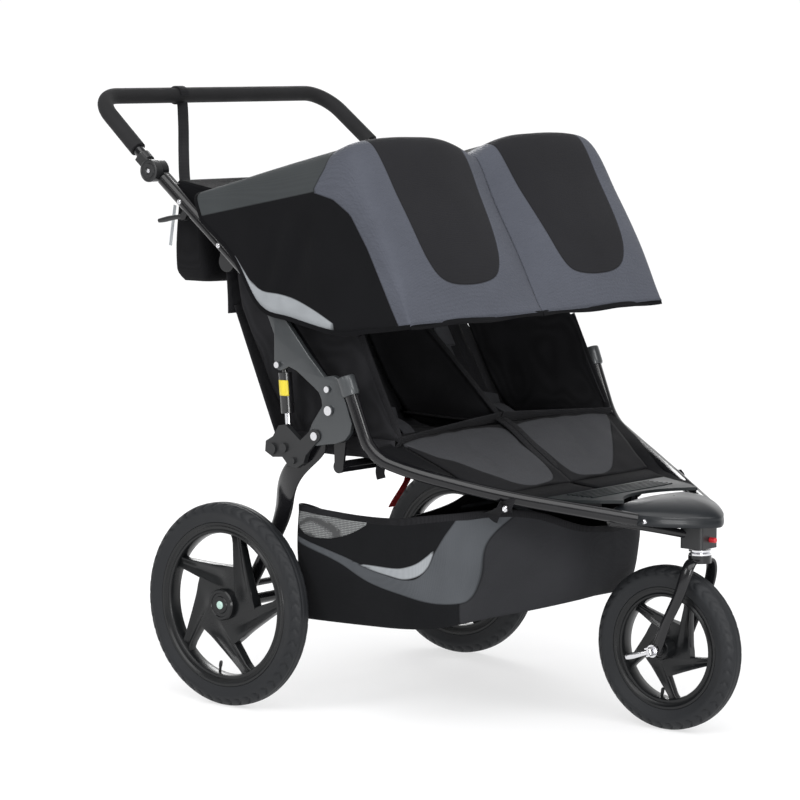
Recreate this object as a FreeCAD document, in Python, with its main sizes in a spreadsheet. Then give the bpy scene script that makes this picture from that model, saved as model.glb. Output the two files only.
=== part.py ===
import FreeCAD, Part
import math
import os

import Sketcher
from FreeCAD import Placement, Rotation, Vector

# Double jogging stroller.  +Z is up, the stroller rolls towards -Y, +X is the rider side called left.
# Every piece is drawn about the floor point under the rear axle, then set back by axle_setback.

SIZES = {
    "axle_setback": 284.5,
    "rear_tyre_radius": 201.0,
    "rear_tyre_width": 46.0,
    "rear_rim_radius": 163.0,
    "rear_rim_inner": 141.0,
    "rear_rim_width": 34.0,
    "rear_track_half": 365.0,
    "rear_hub_radius": 31.0,
    "rear_axle_radius": 6.0,
    "front_tyre_radius": 157.0,
    "front_tyre_width": 50.0,
    "front_rim_radius": 118.0,
    "front_rim_inner": 98.0,
    "front_rim_width": 36.0,
    "front_hub_radius": 21.0,
    "front_axle_radius": 5.0,
    "front_axle_ahead": 798.0,
    "spoke_count": 5.0,
    "running_gap": 0.05,
    "steer_ahead": 866.0,
    "stem_radius": 12.0,
    "rail_radius": 12.5,
    "rail_socket_radius": 10.5,
    "rail_socket_depth": 60.0,
    "upright_half": 360.0,
    "upright_radius": 12.5,
    "cross_tube_radius": 11.0,
    "bracket_inner": 384.0,
    "bracket_thickness": 12.0,
    "plate_inner": 374.0,
    "plate_thickness": 5.0,
    "bolt_radius": 5.0,
    "fold_ahead": 290.0,
    "fold_height": 605.0,
    "swing_ahead": 255.0,
    "swing_height": 554.0,
    "shock_ahead": 160.0,
    "shock_height": 684.0,
    "shock_length": 124.5,
    "shock_body_radius": 13.0,
    "shock_rod_radius": 6.0,
    "grip_radius": 16.0,
    "bar_radius": 11.0,
    "bar_back": 191.0,
    "bar_height": 1045.0,
    "boss_radius": 22.0,
    "button_radius": 8.0,
    "lock_knob_radius": 5.0,
    "lock_pin_radius": 3.0,
    "nose_height": 44.0,
    "nose_fillet": 15.0,
    "mat_thickness": 6.0,
    "mat_rib_height": 2.0,
    "mat_rib_pitch": 11.0,
    "mat_rib_count": 6.0,
    "disc_radius": 55.0,
    "disc_thickness": 4.0,
    "disc_notch_count": 12.0,
    "seat_inner": 12.0,
    "seat_outer": 322.0,
    "seat_pad": 30.0,
    "recline_ahead": 152.0,
    "recline_height": 520.0,
    "canopy_inner": 8.0,
    "canopy_outer": 400.0,
    "fabric": 3.0,
    "basket_wall": 4.0,
}

doc = FreeCAD.newDocument("jogging_stroller")
sheet = doc.addObject("Spreadsheet::Sheet", "Sizes")
for row, (alias, value) in enumerate(SIZES.items(), start=1):
    sheet.set(f"A{row}", alias)
    sheet.set(f"B{row}", str(value))
    sheet.setAlias(f"B{row}", alias)
doc.recompute()

pieces = []


def size(alias):
    return float(getattr(sheet, alias))


SETBACK = size("axle_setback")
GAP = size("running_gap")
LEFT = Vector(1, 0, 0)
ORIGIN = Vector(0, 0, 0)


# ---------------------------------------------------------------- document helpers
def keep(thing):
    pieces.append(thing)
    return thing


def place(thing, ahead=0.0, height=0.0, rotation=None):
    thing.Placement = Placement(Vector(0, SETBACK - ahead, height), rotation or Rotation())
    thing.setExpression("Placement.Base.y", f"Sizes.axle_setback - {ahead}")
    return thing


def new_body(label):
    made = doc.addObject("PartDesign::Body", label)
    made.Label = label
    return made


def plane_of(made, role):
    return next(item for item in made.Origin.OriginFeatures if item.Role == role)


def new_sketch(made, role, offset=0.0):
    sketch = made.newObject("Sketcher::SketchObject", f"{made.Name}_sketch")
    sketch.AttachmentSupport = [(plane_of(made, role), "")]
    sketch.MapMode = "FlatFace"
    sketch.AttachmentOffset = Placement(Vector(0, 0, offset), Rotation())
    return sketch


def flat(point):
    return Vector(point[0], point[1], 0)


def outline(sketch, points):
    """Closed outline: a point is a line to it, a pair of points is an arc through the first to the second."""
    last = points[-1] if isinstance(points[-1][0], (int, float)) else points[-1][1]
    for item in points:
        if isinstance(item[0], (int, float)):
            if flat(last) != flat(item):
                sketch.addGeometry(Part.LineSegment(flat(last), flat(item)))
            last = item
        else:
            sketch.addGeometry(Part.Arc(flat(last), flat(item[0]), flat(item[1])))
            last = item[1]


def circle(sketch, across, up, radius):
    """Circle at a fixed centre, its radius bound to the sheet."""
    index = sketch.addGeometry(Part.Circle(flat((across, up)), Vector(0, 0, 1), 1.0))
    if across == 0 and up == 0:
        sketch.addConstraint(Sketcher.Constraint("Coincident", index, 3, -1, 1))
    else:
        sketch.addConstraint(Sketcher.Constraint("DistanceX", -1, 1, index, 3, across))
        sketch.addConstraint(Sketcher.Constraint("DistanceY", -1, 1, index, 3, up))
    bound = sketch.addConstraint(Sketcher.Constraint("Radius", index, 10.0))
    sketch.setExpression(f"Constraints[{bound}]", radius)


def pad(made, sketch, length):
    feature = made.newObject("PartDesign::Pad", f"{made.Name}_pad")
    feature.Profile = sketch
    feature.setExpression("Length", length)
    return feature


def pocket_through(made, sketch):
    before = solid_volume(made)
    feature = made.newObject("PartDesign::Pocket", f"{made.Name}_pocket")
    feature.Profile = sketch
    feature.Type = 1
    feature.Midplane = True
    doc.recompute()
    if solid_volume(made) >= before:
        raise RuntimeError(f"{made.Label}: the pocket cut nothing")
    return feature


def solid_volume(made):
    doc.recompute()
    return made.Shape.Volume


def revolve(made, sketch, axis):
    feature = made.newObject("PartDesign::Revolution", f"{made.Name}_turned")
    feature.Profile = sketch
    feature.ReferenceAxis = (sketch, [axis])
    feature.Angle = 360.0
    return feature


def polar(made, feature, axis_role, count):
    pattern = made.newObject("PartDesign::PolarPattern", f"{made.Name}_pattern")
    pattern.Originals = [feature]
    pattern.Axis = (plane_of(made, axis_role), [""])
    pattern.Angle = 360.0
    pattern.setExpression("Occurrences", count)
    made.Tip = pattern
    return pattern


def turned(label, profile, ahead, height):
    """Piece of revolution about an X axis: profile points are (x, radius)."""
    made = new_body(label)
    sketch = new_sketch(made, "XY_Plane")
    outline(sketch, profile)
    revolve(made, sketch, "H_Axis")
    return place(made, ahead, height)


def turned_upright(label, profile, ahead):
    """Piece of revolution about a vertical axis: profile points are (radius, z)."""
    made = new_body(label)
    sketch = new_sketch(made, "XZ_Plane")
    outline(sketch, profile)
    revolve(made, sketch, "V_Axis")
    return place(made, ahead)


def side_plate(label, points, start, length, holes=()):
    """Flat plate: outline in Y and Z, starting at X = start, length bound to the sheet."""
    made = new_body(label)
    sketch = new_sketch(made, "YZ_Plane", start)
    outline(sketch, points)
    for across, up, radius in holes:
        circle(sketch, across, up, radius)
    pad(made, sketch, length)
    return place(made)


def mirror(source, label):
    made = doc.addObject("Part::Mirroring", label)
    made.Label = label
    made.Source = source
    made.Base = ORIGIN
    made.Normal = LEFT
    return keep(made)


def both_sides(source, name):
    """Left piece as drawn and the right piece as its mirror image, each a node."""
    source.Label = f"{name}_left"
    keep(source)
    mirror(source, f"{name}_right")


def pair(source, label):
    """Left and right solids that share one node."""
    twin = doc.addObject("Part::Mirroring", f"{label}_twin")
    twin.Source = source
    twin.Base = ORIGIN
    twin.Normal = LEFT
    group = doc.addObject("Part::Compound", label)
    group.Links = [source, twin]
    group.Label = label
    return keep(group)


def made_shape(label, shape):
    feature = doc.addObject("Part::Feature", label)
    feature.Label = label
    feature.Shape = shape
    feature.Placement = Placement(Vector(0, SETBACK, 0), Rotation()).multiply(shape.Placement)
    return feature


def shape_sides(name, shape):
    keep(made_shape(f"{name}_left", shape))
    keep(made_shape(f"{name}_right", mirrored(shape)))


def mirrored(shape):
    return shape.mirror(ORIGIN, LEFT)


# ---------------------------------------------------------------- shape helpers
def bent_path(points, fill=0.45):
    """Straight runs joined by tangent arcs as large as the runs allow."""
    points = [Vector(*point) for point in points]
    edges = []
    last = points[0]
    for before, corner, after in zip(points, points[1:], points[2:]):
        reach = fill * min((corner - before).Length, (after - corner).Length)
        back = (before - corner).normalize()
        ahead = (after - corner).normalize()
        start = corner + back * reach
        end = corner + ahead * reach
        half = math.acos(max(-1.0, min(1.0, back.dot(ahead)))) / 2
        bisector = (back + ahead).normalize()
        radius = reach * math.tan(half)
        centre = corner + bisector * (reach / math.cos(half))
        middle = centre - bisector * radius
        edges.append(Part.LineSegment(last, start).toShape())
        edges.append(Part.Arc(start, middle, end).toShape())
        last = end
    edges.append(Part.LineSegment(last, points[-1]).toShape())
    return Part.Wire(edges)


def tube(points, radius, fill=0.45):
    wire = bent_path(points, fill)
    start = Vector(*points[0])
    direction = Vector(*points[1]) - start
    ring = Part.Wire([Part.Circle(start, direction, radius).toShape()])
    return wire.makePipeShell([ring], True, False)


def rod(start, end, radius):
    start = Vector(*start)
    along = Vector(*end) - start
    return Part.makeCylinder(radius, along.Length, start, along)


def cross_rod(x_low, x_high, y, z, radius):
    return Part.makeCylinder(radius, x_high - x_low, Vector(x_low, y, z), LEFT)


def face_of(points):
    points = [Vector(*point) for point in points]
    return Part.Face(Part.makePolygon(points + points[:1]))


def slab(points, x_low, x_high):
    """Prism of a YZ outline between two X planes."""
    return face_of([(x_low, y, z) for y, z in points]).extrude(Vector(x_high - x_low, 0, 0))


def prism_up(points, low, high):
    """Prism of an XY outline between two heights."""
    return face_of([(x, y, low) for x, y in points]).extrude(Vector(0, 0, high - low))


def blade(stations):
    """Flattened tube lofted through ellipses: stations are (x, y, z, half width in X, half depth)."""
    sections = []
    count = len(stations)
    for index, (x, y, z, half_width, half_depth) in enumerate(stations):
        before = stations[max(index - 1, 0)]
        after = stations[min(index + 1, count - 1)]
        along = Vector(0, after[1] - before[1], after[2] - before[2]).normalize()
        depth = Vector(0, -along.z, along.y)
        ring = Part.Ellipse(depth * half_depth, LEFT * half_width, ORIGIN)
        ring.translate(Vector(x, y, z))
        sections.append(Part.Wire([ring.toShape()]))
    return Part.makeLoft(sections, True, False)


# ---------------------------------------------------------------- wheels
def tyre(label, mid, radius, width, rim, rim_width, ahead, height):
    seat = rim + 0.3
    half = width / 2 - 0.5
    foot = rim_width / 2
    shoulder = radius - width / 2 - 1
    crown = ((mid, radius), (mid + half, shoulder))
    profile = [(mid - foot, seat), (mid - half, shoulder), crown, (mid + foot, seat)]
    return turned(label, profile, ahead, height)


def rim(label, mid, outer, inner, width, hub, hub_low, hub_high, bore, ahead, height, recess=None, spin=0.0):
    """Rim ring, pinwheel spokes and hub in one moulding."""
    half = width / 2
    well = outer - 6
    made = new_body(label)
    ring = new_sketch(made, "XY_Plane")
    outline(ring, [(mid - half, inner), (mid - half, outer), (mid - half + 4, outer), (mid - half + 8, well),
                   (mid + half - 8, well), (mid + half - 4, outer), (mid + half, outer), (mid + half, inner)])
    revolve(made, ring, "H_Axis")
    spoke_half = 11
    sketch = new_sketch(made, "YZ_Plane", mid - spoke_half)
    corners = [(-hub * 0.6, -hub * 0.45), (-inner * 0.16, inner + 2), (-inner * 0.28, inner + 2),
               (-inner * 0.59, -inner * 0.05)]
    outline(sketch, [(y * math.cos(spin) - z * math.sin(spin), y * math.sin(spin) + z * math.cos(spin))
                     for y, z in corners])
    spoke = pad(made, sketch, str(2 * spoke_half))
    polar(made, spoke, "X_Axis", "Sizes.spoke_count")
    core = new_sketch(made, "XY_Plane")
    if recess:
        floor, radius = recess
        outline(core, [(hub_low, bore), (hub_low, hub), (hub_high - 6, hub), (hub_high, hub - 7),
                       (hub_high, radius), (floor, radius), (floor, bore)])
    else:
        outline(core, [(hub_low, bore), (hub_low, hub), (hub_high, hub), (hub_high, bore)])
    revolve(made, core, "H_Axis")
    return place(made, ahead, height)


def rear_wheels():
    track = size("rear_track_half")
    height = size("rear_tyre_radius")
    axle = size("rear_axle_radius")
    button = size("button_radius")
    both_sides(tyre("rear_tyre_left", track, height, size("rear_tyre_width"), size("rear_rim_radius"),
                    size("rear_rim_width"), 0, height), "rear_tyre")
    both_sides(rim("rear_rim_left", track, size("rear_rim_radius"), size("rear_rim_inner"), size("rear_rim_width"),
                   size("rear_hub_radius"), 338, 388, axle + GAP, 0, height, recess=(378, button + GAP)), "rear_rim")
    cap = [(383, 0), (383, button), (389, button), (391, button - 3), (391, 0)]
    both_sides(turned("hub_button_left", cap, 0, height), "hub_button")
    both_sides(brake_disc(axle, height), "brake_disc")


def brake_disc(axle, height):
    """Notched disc that the brake teeth drop into."""
    made = new_body("brake_disc_left")
    start = 334
    sketch = new_sketch(made, "YZ_Plane", start)
    circle(sketch, 0, 0, "Sizes.disc_radius")
    circle(sketch, 0, 0, "Sizes.rear_axle_radius + Sizes.running_gap")
    pad(made, sketch, "Sizes.disc_thickness")
    cut = new_sketch(made, "YZ_Plane", start)
    notch_floor = 47
    notch_half = 7
    outline(cut, [(notch_floor, -notch_half - 2.3), (60, -notch_half - 2.3), (60, notch_half - 2.3),
                  (notch_floor, notch_half - 2.3)])
    notch = pocket_through(made, cut)
    polar(made, notch, "X_Axis", "Sizes.disc_notch_count")
    return place(made, 0, height)


def front_wheel():
    ahead = size("front_axle_ahead")
    height = size("front_tyre_radius")
    axle = size("front_axle_radius")
    keep(tyre("front_tyre", 0, height, size("front_tyre_width"), size("front_rim_radius"),
              size("front_rim_width"), ahead, height))
    keep(rim("front_rim", 0, size("front_rim_radius"), size("front_rim_inner"), size("front_rim_width"),
             size("front_hub_radius"), -34, 34, axle + GAP, ahead, height, spin=math.radians(15)))


# ---------------------------------------------------------------- front fork
QR_TILT = math.degrees(math.atan2(-16, 53))


def quick_release_place(shape):
    """Local Z is the lever's pin, local Y runs along the closed lever."""
    shape.rotate(ORIGIN, LEFT, QR_TILT)
    shape.translate(Vector(-64, -size("front_axle_ahead"), size("front_tyre_radius")))
    return shape


def fork():
    ahead = size("steer_ahead")
    axle_y = -size("front_axle_ahead")
    axle_z = size("front_tyre_radius")
    axle = size("front_axle_radius")
    stem = size("stem_radius")
    keep(turned_upright("steering_stem", [(0, 340), (stem, 340), (stem, 400), (0, 400)], ahead))
    spring = [(stem, 341), (21, 341), (21, 344), (17, 346), (21, 348), (21, 351), (stem, 351)]
    keep(turned_upright("fork_spring", spring, ahead))
    leg = blade([(16, -868, 334, 9, 12), (36, -867, 324, 8, 12), (45, -861, 295, 7, 12),
                 (47, -838, 240, 7, 11), (47, -815, 192, 6, 11), (47, axle_y, axle_z, 5, 12)])
    bore = cross_rod(-70, 70, axle_y, axle_z, axle + GAP)
    crown = Part.makeCylinder(22, 14, Vector(0, -ahead, 326))
    legs = crown.fuse([leg, mirrored(leg)]).cut(bore)
    keep(made_shape("fork_legs", legs.removeSplitter()))
    skewer = cross_rod(-54, 58, axle_y, axle_z, axle)
    nut = cross_rod(55, 64, axle_y, axle_z, 10)
    cap = cross_rod(-57, -53, axle_y, axle_z, 12)
    ears = [Part.makeBox(16, 9, 3, Vector(-8, -4.5, low)) for low in (5.5, -8.5)]
    pin = Part.makeCylinder(3, 17, Vector(0, 0, -8.5))
    clevis = quick_release_place(ears[0].fuse([ears[1], pin]))
    keep(made_shape("front_axle", skewer.fuse([nut, cap, clevis])))
    cam = Part.makeCylinder(6, 10, Vector(0, 0, -5))
    handle = blade([(0, 4, 0, 3, 4.5), (-3, 25, 0, 3, 5.5), (-3, 45, 0, 3, 6), (-1, 56, 0, 2.5, 4.5)])
    lever = cam.fuse(handle).cut(Part.makeCylinder(3 + GAP, 12, Vector(0, 0, -6)))
    keep(made_shape("quick_release_lever", quick_release_place(lever)))


def head():
    ahead = size("steer_ahead")
    stem = size("stem_radius") + GAP
    housing = Part.makeBox(56, 50, 48, Vector(-28, -ahead - 22, 354))
    housing = housing.makeFillet(7, [edge for edge in housing.Edges if abs(edge.tangentAt(0).z) > 0.9])
    housing = housing.cut(Part.makeCylinder(stem, 60, Vector(0, -ahead, 350)))
    pin = size("lock_pin_radius")
    front = -ahead - 22
    housing = housing.cut(rod((0, front - 1, 371), (0, front + 9, 371), pin + GAP))
    keep(made_shape("head_housing", housing))
    knob = rod((0, front - 14, 371), (0, front - 1, 371), size("lock_knob_radius"))
    knob = knob.makeFillet(1.5, [max(knob.Edges, key=lambda edge: -edge.CenterOfMass.y)])
    keep(made_shape("swivel_lock_knob", knob.fuse(rod((0, front - 1, 371), (0, front + 8, 371), pin))))
    brace = tube([(150, -764, 410), (88, -800, 398), (20, -850, 380)], 8)
    keep(made_shape("brace_tubes", Part.makeCompound([brace, mirrored(brace)])))


# ---------------------------------------------------------------- frame
RAIL = [(388, -325, 670), (384, -384, 524), (350, -462, 495), (268, -602, 456), (118, -806, 414)]


def rails():
    shape = tube(RAIL, size("rail_radius"))
    top = Vector(*RAIL[0])
    down = (Vector(*RAIL[1]) - top).normalize()
    socket = Part.makeCylinder(size("rail_socket_radius"), size("rail_socket_depth"), top, down)
    shape_sides("side_rail", shape.cut(socket))


def nose():
    made = new_body("nose_cover")
    sketch = new_sketch(made, "XY_Plane", 404)
    outline(sketch, [(-124, -779), ((-82, -852), (0, -917)), ((82, -852), (124, -779)), ((0, -729), (-124, -779))])
    feature = pad(made, sketch, "Sizes.nose_height")
    doc.recompute()
    top = 404 + size("nose_height")
    rim_edges = [f"Edge{index}" for index, edge in enumerate(made.Shape.Edges, start=1)
                 if all(abs(vertex.Z - top) < 0.01 for vertex in edge.Vertexes)]
    rounded = made.newObject("PartDesign::Fillet", "nose_rounded")
    rounded.Base = (feature, rim_edges)
    rounded.setExpression("Radius", "Sizes.nose_fillet")
    keep(place(made))


def footrest():
    made = new_body("footrest_mat")
    sketch = new_sketch(made, "XY_Plane", 442)
    outline(sketch, [(-119, -776), ((0, -727), (119, -776)), (148, -742), (204, -640), (-204, -640), (-148, -742)])
    pad(made, sketch, "Sizes.mat_thickness")
    rib = new_sketch(made, "XY_Plane", 442 + size("mat_thickness"))
    outline(rib, [(-130, -712), (130, -712), (130, -707), (-130, -707)])
    ridge = pad(made, rib, "Sizes.mat_rib_height")
    row = made.newObject("PartDesign::LinearPattern", "mat_ribs")
    row.Originals = [ridge]
    row.Direction = (plane_of(made, "Y_Axis"), [""])
    row.Reversed = False
    row.setExpression("Length", "Sizes.mat_rib_pitch * (Sizes.mat_rib_count - 1)")
    row.setExpression("Occurrences", "Sizes.mat_rib_count")
    made.Tip = row
    keep(place(made))


BRACKET = [(-126, 790), (-149, 742), (-149, 694), ((-152, 679), (-164, 673)), ((-175, 676), (-186, 682)),
           (-206, 675), (-250, 646), ((-265, 632), (-270, 612)), (-246, 580), (-237, 562), (-237, 552),
           ((-255, 535), (-274, 539)), (-304, 543), ((-334, 556), (-343, 584)), (-337, 601), (-327, 627),
           (-310, 660), ((-307, 668), (-298, 672)), (-275, 668), (-236, 706), (-150, 802)]


def brackets():
    """Grey side brackets, thinned around the swing-arm pivot so the rocker laps over them."""
    made = new_body("side_bracket_left")
    sketch = new_sketch(made, "YZ_Plane", size("bracket_inner"))
    outline(sketch, BRACKET)
    for ahead, height in (("fold_ahead", "fold_height"), ("swing_ahead", "swing_height")):
        circle(sketch, -size(ahead), size(height), "Sizes.bolt_radius")
    pad(made, sketch, "Sizes.bracket_thickness")
    doc.recompute()
    lap = new_sketch(made, "YZ_Plane", size("bracket_inner") + size("bracket_thickness"))
    circle(lap, -size("swing_ahead"), size("swing_height"), "24")
    before = solid_volume(made)
    cut = made.newObject("PartDesign::Pocket", "bracket_lap")
    cut.Profile = lap
    cut.Length = 6.3
    doc.recompute()
    if made.Shape.Volume >= before:
        raise RuntimeError("the bracket's lap cut nothing")
    both_sides(place(made), "side_bracket")


def hinge_plates():
    points = [(-346, 574), (-340, 592), (-306, 628), (-283, 622), (-276, 600), (-288, 572), (-289, 505),
              ((-300, 485), (-311, 500)), (-317, 546)]
    plate = side_plate("hinge_plate", points, size("plate_inner"), "Sizes.plate_thickness",
                       [(-size("fold_ahead"), size("fold_height"), "Sizes.bolt_radius")])
    pair(plate, "hinge_plates")
    cross = doc.addObject("Part::Cylinder", "seat_cross_tube")
    cross.Label = "seat_cross_tube"
    cross.setExpression("Radius", "Sizes.cross_tube_radius")
    cross.setExpression("Height", "2 * Sizes.plate_inner")
    cross.Placement = Placement(Vector(-size("plate_inner"), SETBACK - 300, 497), Rotation(Vector(0, 1, 0), 90))
    keep(cross)


def frame_bolts():
    """Fold pivots, swing-arm pivots, shock pins and slot bolts, all held by the side brackets."""
    bolt = size("bolt_radius")
    fold = (-size("fold_ahead"), size("fold_height"))
    swing = (-size("swing_ahead"), size("swing_height"))
    shock = (-size("shock_ahead"), size("shock_height"))
    solids = [
        cross_rod(349, 397, *fold, bolt).fuse(cross_rod(396, 400, *fold, 9)),
        cross_rod(367, 397, *swing, bolt).fuse(cross_rod(396.3, 400, *swing, 8)),
        cross_rod(366, 384, *shock, 4),
        cross_rod(396, 399, *shock, 6),
        cross_rod(396, 399, -286, 645, 6),
    ]
    made = Part.makeCompound(solids + [mirrored(solid) for solid in solids])
    keep(made_shape("frame_bolts", made))


# ---------------------------------------------------------------- rear suspension
def swing_arms():
    axle_z = size("rear_tyre_radius")
    swing = (-size("swing_ahead"), size("swing_height"))
    arm = blade([(371, -250, 547, 7, 16), (369, -205, 502, 8, 21), (366, -164, 462, 9, 24),
                 (352, -141, 428, 9, 24), (333, -118, 393, 9, 21), (323, -92, 350, 8, 17),
                 (322, -62, 301, 8, 15), (322, -31, 251, 8, 14), (322, 0, axle_z, 8, 15)])
    lug = cross_rod(366, 383.4, *swing, 15)
    arm = arm.fuse(lug).cut(cross_rod(360, 390, *swing, size("bolt_radius") + GAP))
    shape_sides("swing_arm", arm.cut(cross_rod(300, 340, 0, axle_z, 12)))


BRAKE_Y = 70
BRAKE_Z = 215


def rear_axle():
    axle_z = size("rear_tyre_radius")
    stub = size("rear_axle_radius")
    shape = cross_rod(-332, 332, 0, axle_z, 12).fuse(cross_rod(-376, 376, 0, axle_z, stub))
    cheek = slab([(-8, 190), (10, 187), (BRAKE_Y + 4, 202), (BRAKE_Y + 13, 215), (BRAKE_Y + 4, 228),
                  (-6, 214)], 296, 302)
    hole = cross_rod(-310, 310, BRAKE_Y, BRAKE_Z, 7 + GAP)
    keep(made_shape("rear_axle_tube", shape.fuse([cheek, mirrored(cheek)]).cut(hole)))


def brake():
    """Foot bar behind the axle with a tooth at each end that drops into the disc."""
    bar = cross_rod(-332, 332, BRAKE_Y, BRAKE_Z, 7)
    pedal = soft_round(Part.makeBox(150, 52, 6, Vector(-75, BRAKE_Y, BRAKE_Z)), 2.4)
    arm = slab([(BRAKE_Y - 6, 216), (BRAKE_Y - 14, 192), (BRAKE_Y - 8, 189), (BRAKE_Y + 6, 213)], 326, 332)
    tooth = cross_rod(326, 338, BRAKE_Y - 10, BRAKE_Z - 21, 4)
    keep(made_shape("brake_pedal", bar.fuse([pedal, arm, tooth, mirrored(arm), mirrored(tooth)])))


def rockers():
    swing = (-size("swing_ahead"), size("swing_height"))
    web = slab([(-236, 528), (-222, 540), (-180, 571), (-163, 568), (-148, 546), (-130, 536), (-128, 516),
                (-148, 506), (-172, 508), (-188, 492), (-208, 489), (-226, 500)], 384.3, 396)
    lap = slab([(-262, 561), (-246, 566), (-214, 540), (-228, 512), (-262, 546)], 390.3, 396)
    lug = cross_rod(390.3, 396, *swing, 12)
    body = web.cut(cross_rod(380, 400, *swing, 26)).fuse([lap, lug])
    knobs = [cross_rod(395, 401, y, z, radius) for y, z, radius in
             ((-147, 522, 11), (-177, 526, 9), (-201, 503, 6))]
    pin = cross_rod(366, 385, -171, 560, 4)
    body = body.fuse(knobs + [pin]).cut(cross_rod(360, 400.5, *swing, size("bolt_radius") + GAP))
    made = Part.makeCompound([body, mirrored(body)])
    keep(made_shape("suspension_rockers", made))


def shocks():
    """Coil-over units, drawn hanging from their top pin and then leaned to reach the rockers."""
    long = size("shock_length")
    thick = size("shock_body_radius")
    thin = size("shock_rod_radius")
    lean = Rotation(LEFT, -math.degrees(math.atan2(11, 124)))
    top = Vector(375, -size("shock_ahead"), size("shock_height"))
    tube_part = Part.makeCylinder(thick, 78, Vector(0, 0, -94))
    eye = cross_rod(-8.5, 8, 0, 0, 9).fuse(Part.makeCylinder(5, 20, Vector(0, 0, -22)))
    barrel = tube_part.fuse(eye).cut([Part.makeCylinder(thin + 0.4, 36, Vector(0, 0, -95)),
                                      cross_rod(-10, 10, 0, 0, 4 + GAP)])
    rod_part = Part.makeCylinder(thin, long - 78 - 5, Vector(0, 0, -long + 5))
    foot = cross_rod(-8.5, 8, 0, -long, 8.5).fuse(rod_part).cut(cross_rod(-10, 10, 0, -long, 5))
    for label, shape in (("shock_bodies", barrel), ("shock_rods", foot)):
        shape.Placement = Placement(top, lean)
        keep(made_shape(label, Part.makeCompound([shape, mirrored(shape)])))


# ---------------------------------------------------------------- upper frame and handlebar
KNEE = (-125, 795)
LEVER_PIVOT = (113.6, 955.8)


def unit(start, end):
    length = math.hypot(end[0] - start[0], end[1] - start[1])
    return (end[0] - start[0]) / length, (end[1] - start[1]) / length


def uprights():
    half = size("upright_half")
    radius = size("upright_radius")
    fold = (-size("fold_ahead"), size("fold_height"))
    head_point = (size("bar_back"), size("bar_height"))
    along = unit(KNEE, head_point)
    stop = 26
    end = (head_point[0] - along[0] * stop, head_point[1] - along[1] * stop)
    shape = tube([(half, *fold), (half, *KNEE), (half, *end)], radius)
    across = (-along[1] * 11, along[0] * 11)
    neck_root = (end[0] - along[0] * 30, end[1] - along[1] * 30)
    neck = slab([(neck_root[0] + across[0], neck_root[1] + across[1]),
                 (head_point[0] + across[0], head_point[1] + across[1]),
                 (head_point[0] - across[0], head_point[1] - across[1]),
                 (neck_root[0] - across[0], neck_root[1] - across[1])], 346, 361.6)
    boss = cross_rod(345, 361.6, *head_point, size("boss_radius"))
    shoe = cross_rod(half - radius, half + radius, *fold, 14)
    lug = slab([(96, 972), (104, 980), (LEVER_PIVOT[0] + 7, LEVER_PIVOT[1] + 2),
                (LEVER_PIVOT[0] + 2, LEVER_PIVOT[1] - 7), (LEVER_PIVOT[0] - 7, LEVER_PIVOT[1] - 4)], 362, 367)
    lever_pin = cross_rod(353, 363, *LEVER_PIVOT, 3.5)
    shape = shape.fuse([neck, boss, shoe, lug, lever_pin])
    holes = [cross_rod(344, 357, *head_point, size("button_radius") + GAP),
             cross_rod(340, 380, *fold, size("bolt_radius") + GAP)]
    shape_sides("upright", shape.cut(holes))
    keep(made_shape("crossbar", cross_rod(-half + radius - 1, half - radius + 1, 60, 941, 10)))


def canopy_hinges():
    side = cross_rod(336, 347, 15, 871, 20).fuse(slab([(2, 880), (30, 880), (30, 915), (2, 897)], 338, 349))
    centre = cross_rod(-6, 6, 15, 871, 18).fuse(slab([(2, 880), (30, 872), (68, 934), (50, 948)], -6, 6))
    keep(made_shape("canopy_hinges", Part.makeCompound([side, mirrored(side), centre])))


BAR_CORNER = (348, 370, 1189)


def handlebar():
    half = size("upright_half")
    head_point = (size("bar_back"), size("bar_height"))
    along = unit(head_point, BAR_CORNER[1:])
    start = (half, head_point[0] + along[0] * 27, head_point[1] + along[1] * 27)
    bend_start = 0.30
    path = [start, BAR_CORNER, (-BAR_CORNER[0], *BAR_CORNER[1:]), (-start[0], *start[1:])]
    bar = tube(path, size("bar_radius"), bend_start)
    keep(made_shape("handlebar_tube", bar))
    foam_low = (half - 2.6, start[1] + along[0] * 38, start[2] + along[1] * 38)
    foam_path = [foam_low, BAR_CORNER, (-BAR_CORNER[0], *BAR_CORNER[1:]), (-foam_low[0], *foam_low[1:])]
    reach = bend_start * (Vector(*BAR_CORNER) - Vector(*start)).Length
    fill = reach / (Vector(*BAR_CORNER) - Vector(*foam_low)).Length
    keep(made_shape("handle_grip", tube(foam_path, size("grip_radius"), fill).cut(bar)))
    across = (-along[1] * 10, along[0] * 10)
    tip = (start[1] + along[0] * 18, start[2] + along[1] * 18)
    cheek = slab([(head_point[0] + across[0], head_point[1] + across[1]), (tip[0] + across[0], tip[1] + across[1]),
                  (tip[0] - across[0], tip[1] - across[1]), (head_point[0] - across[0], head_point[1] - across[1])],
                 362, 376)
    boss = cross_rod(362, 379, *head_point, size("boss_radius"))
    ferrule = rod(start, (half - 1.2, tip[0], tip[1]), 14)
    shape_sides("handle_joint", boss.fuse([cheek, ferrule]))
    cap = cross_rod(337, 350, *head_point, size("button_radius"))
    shape_sides("adjust_button", cap)


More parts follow.
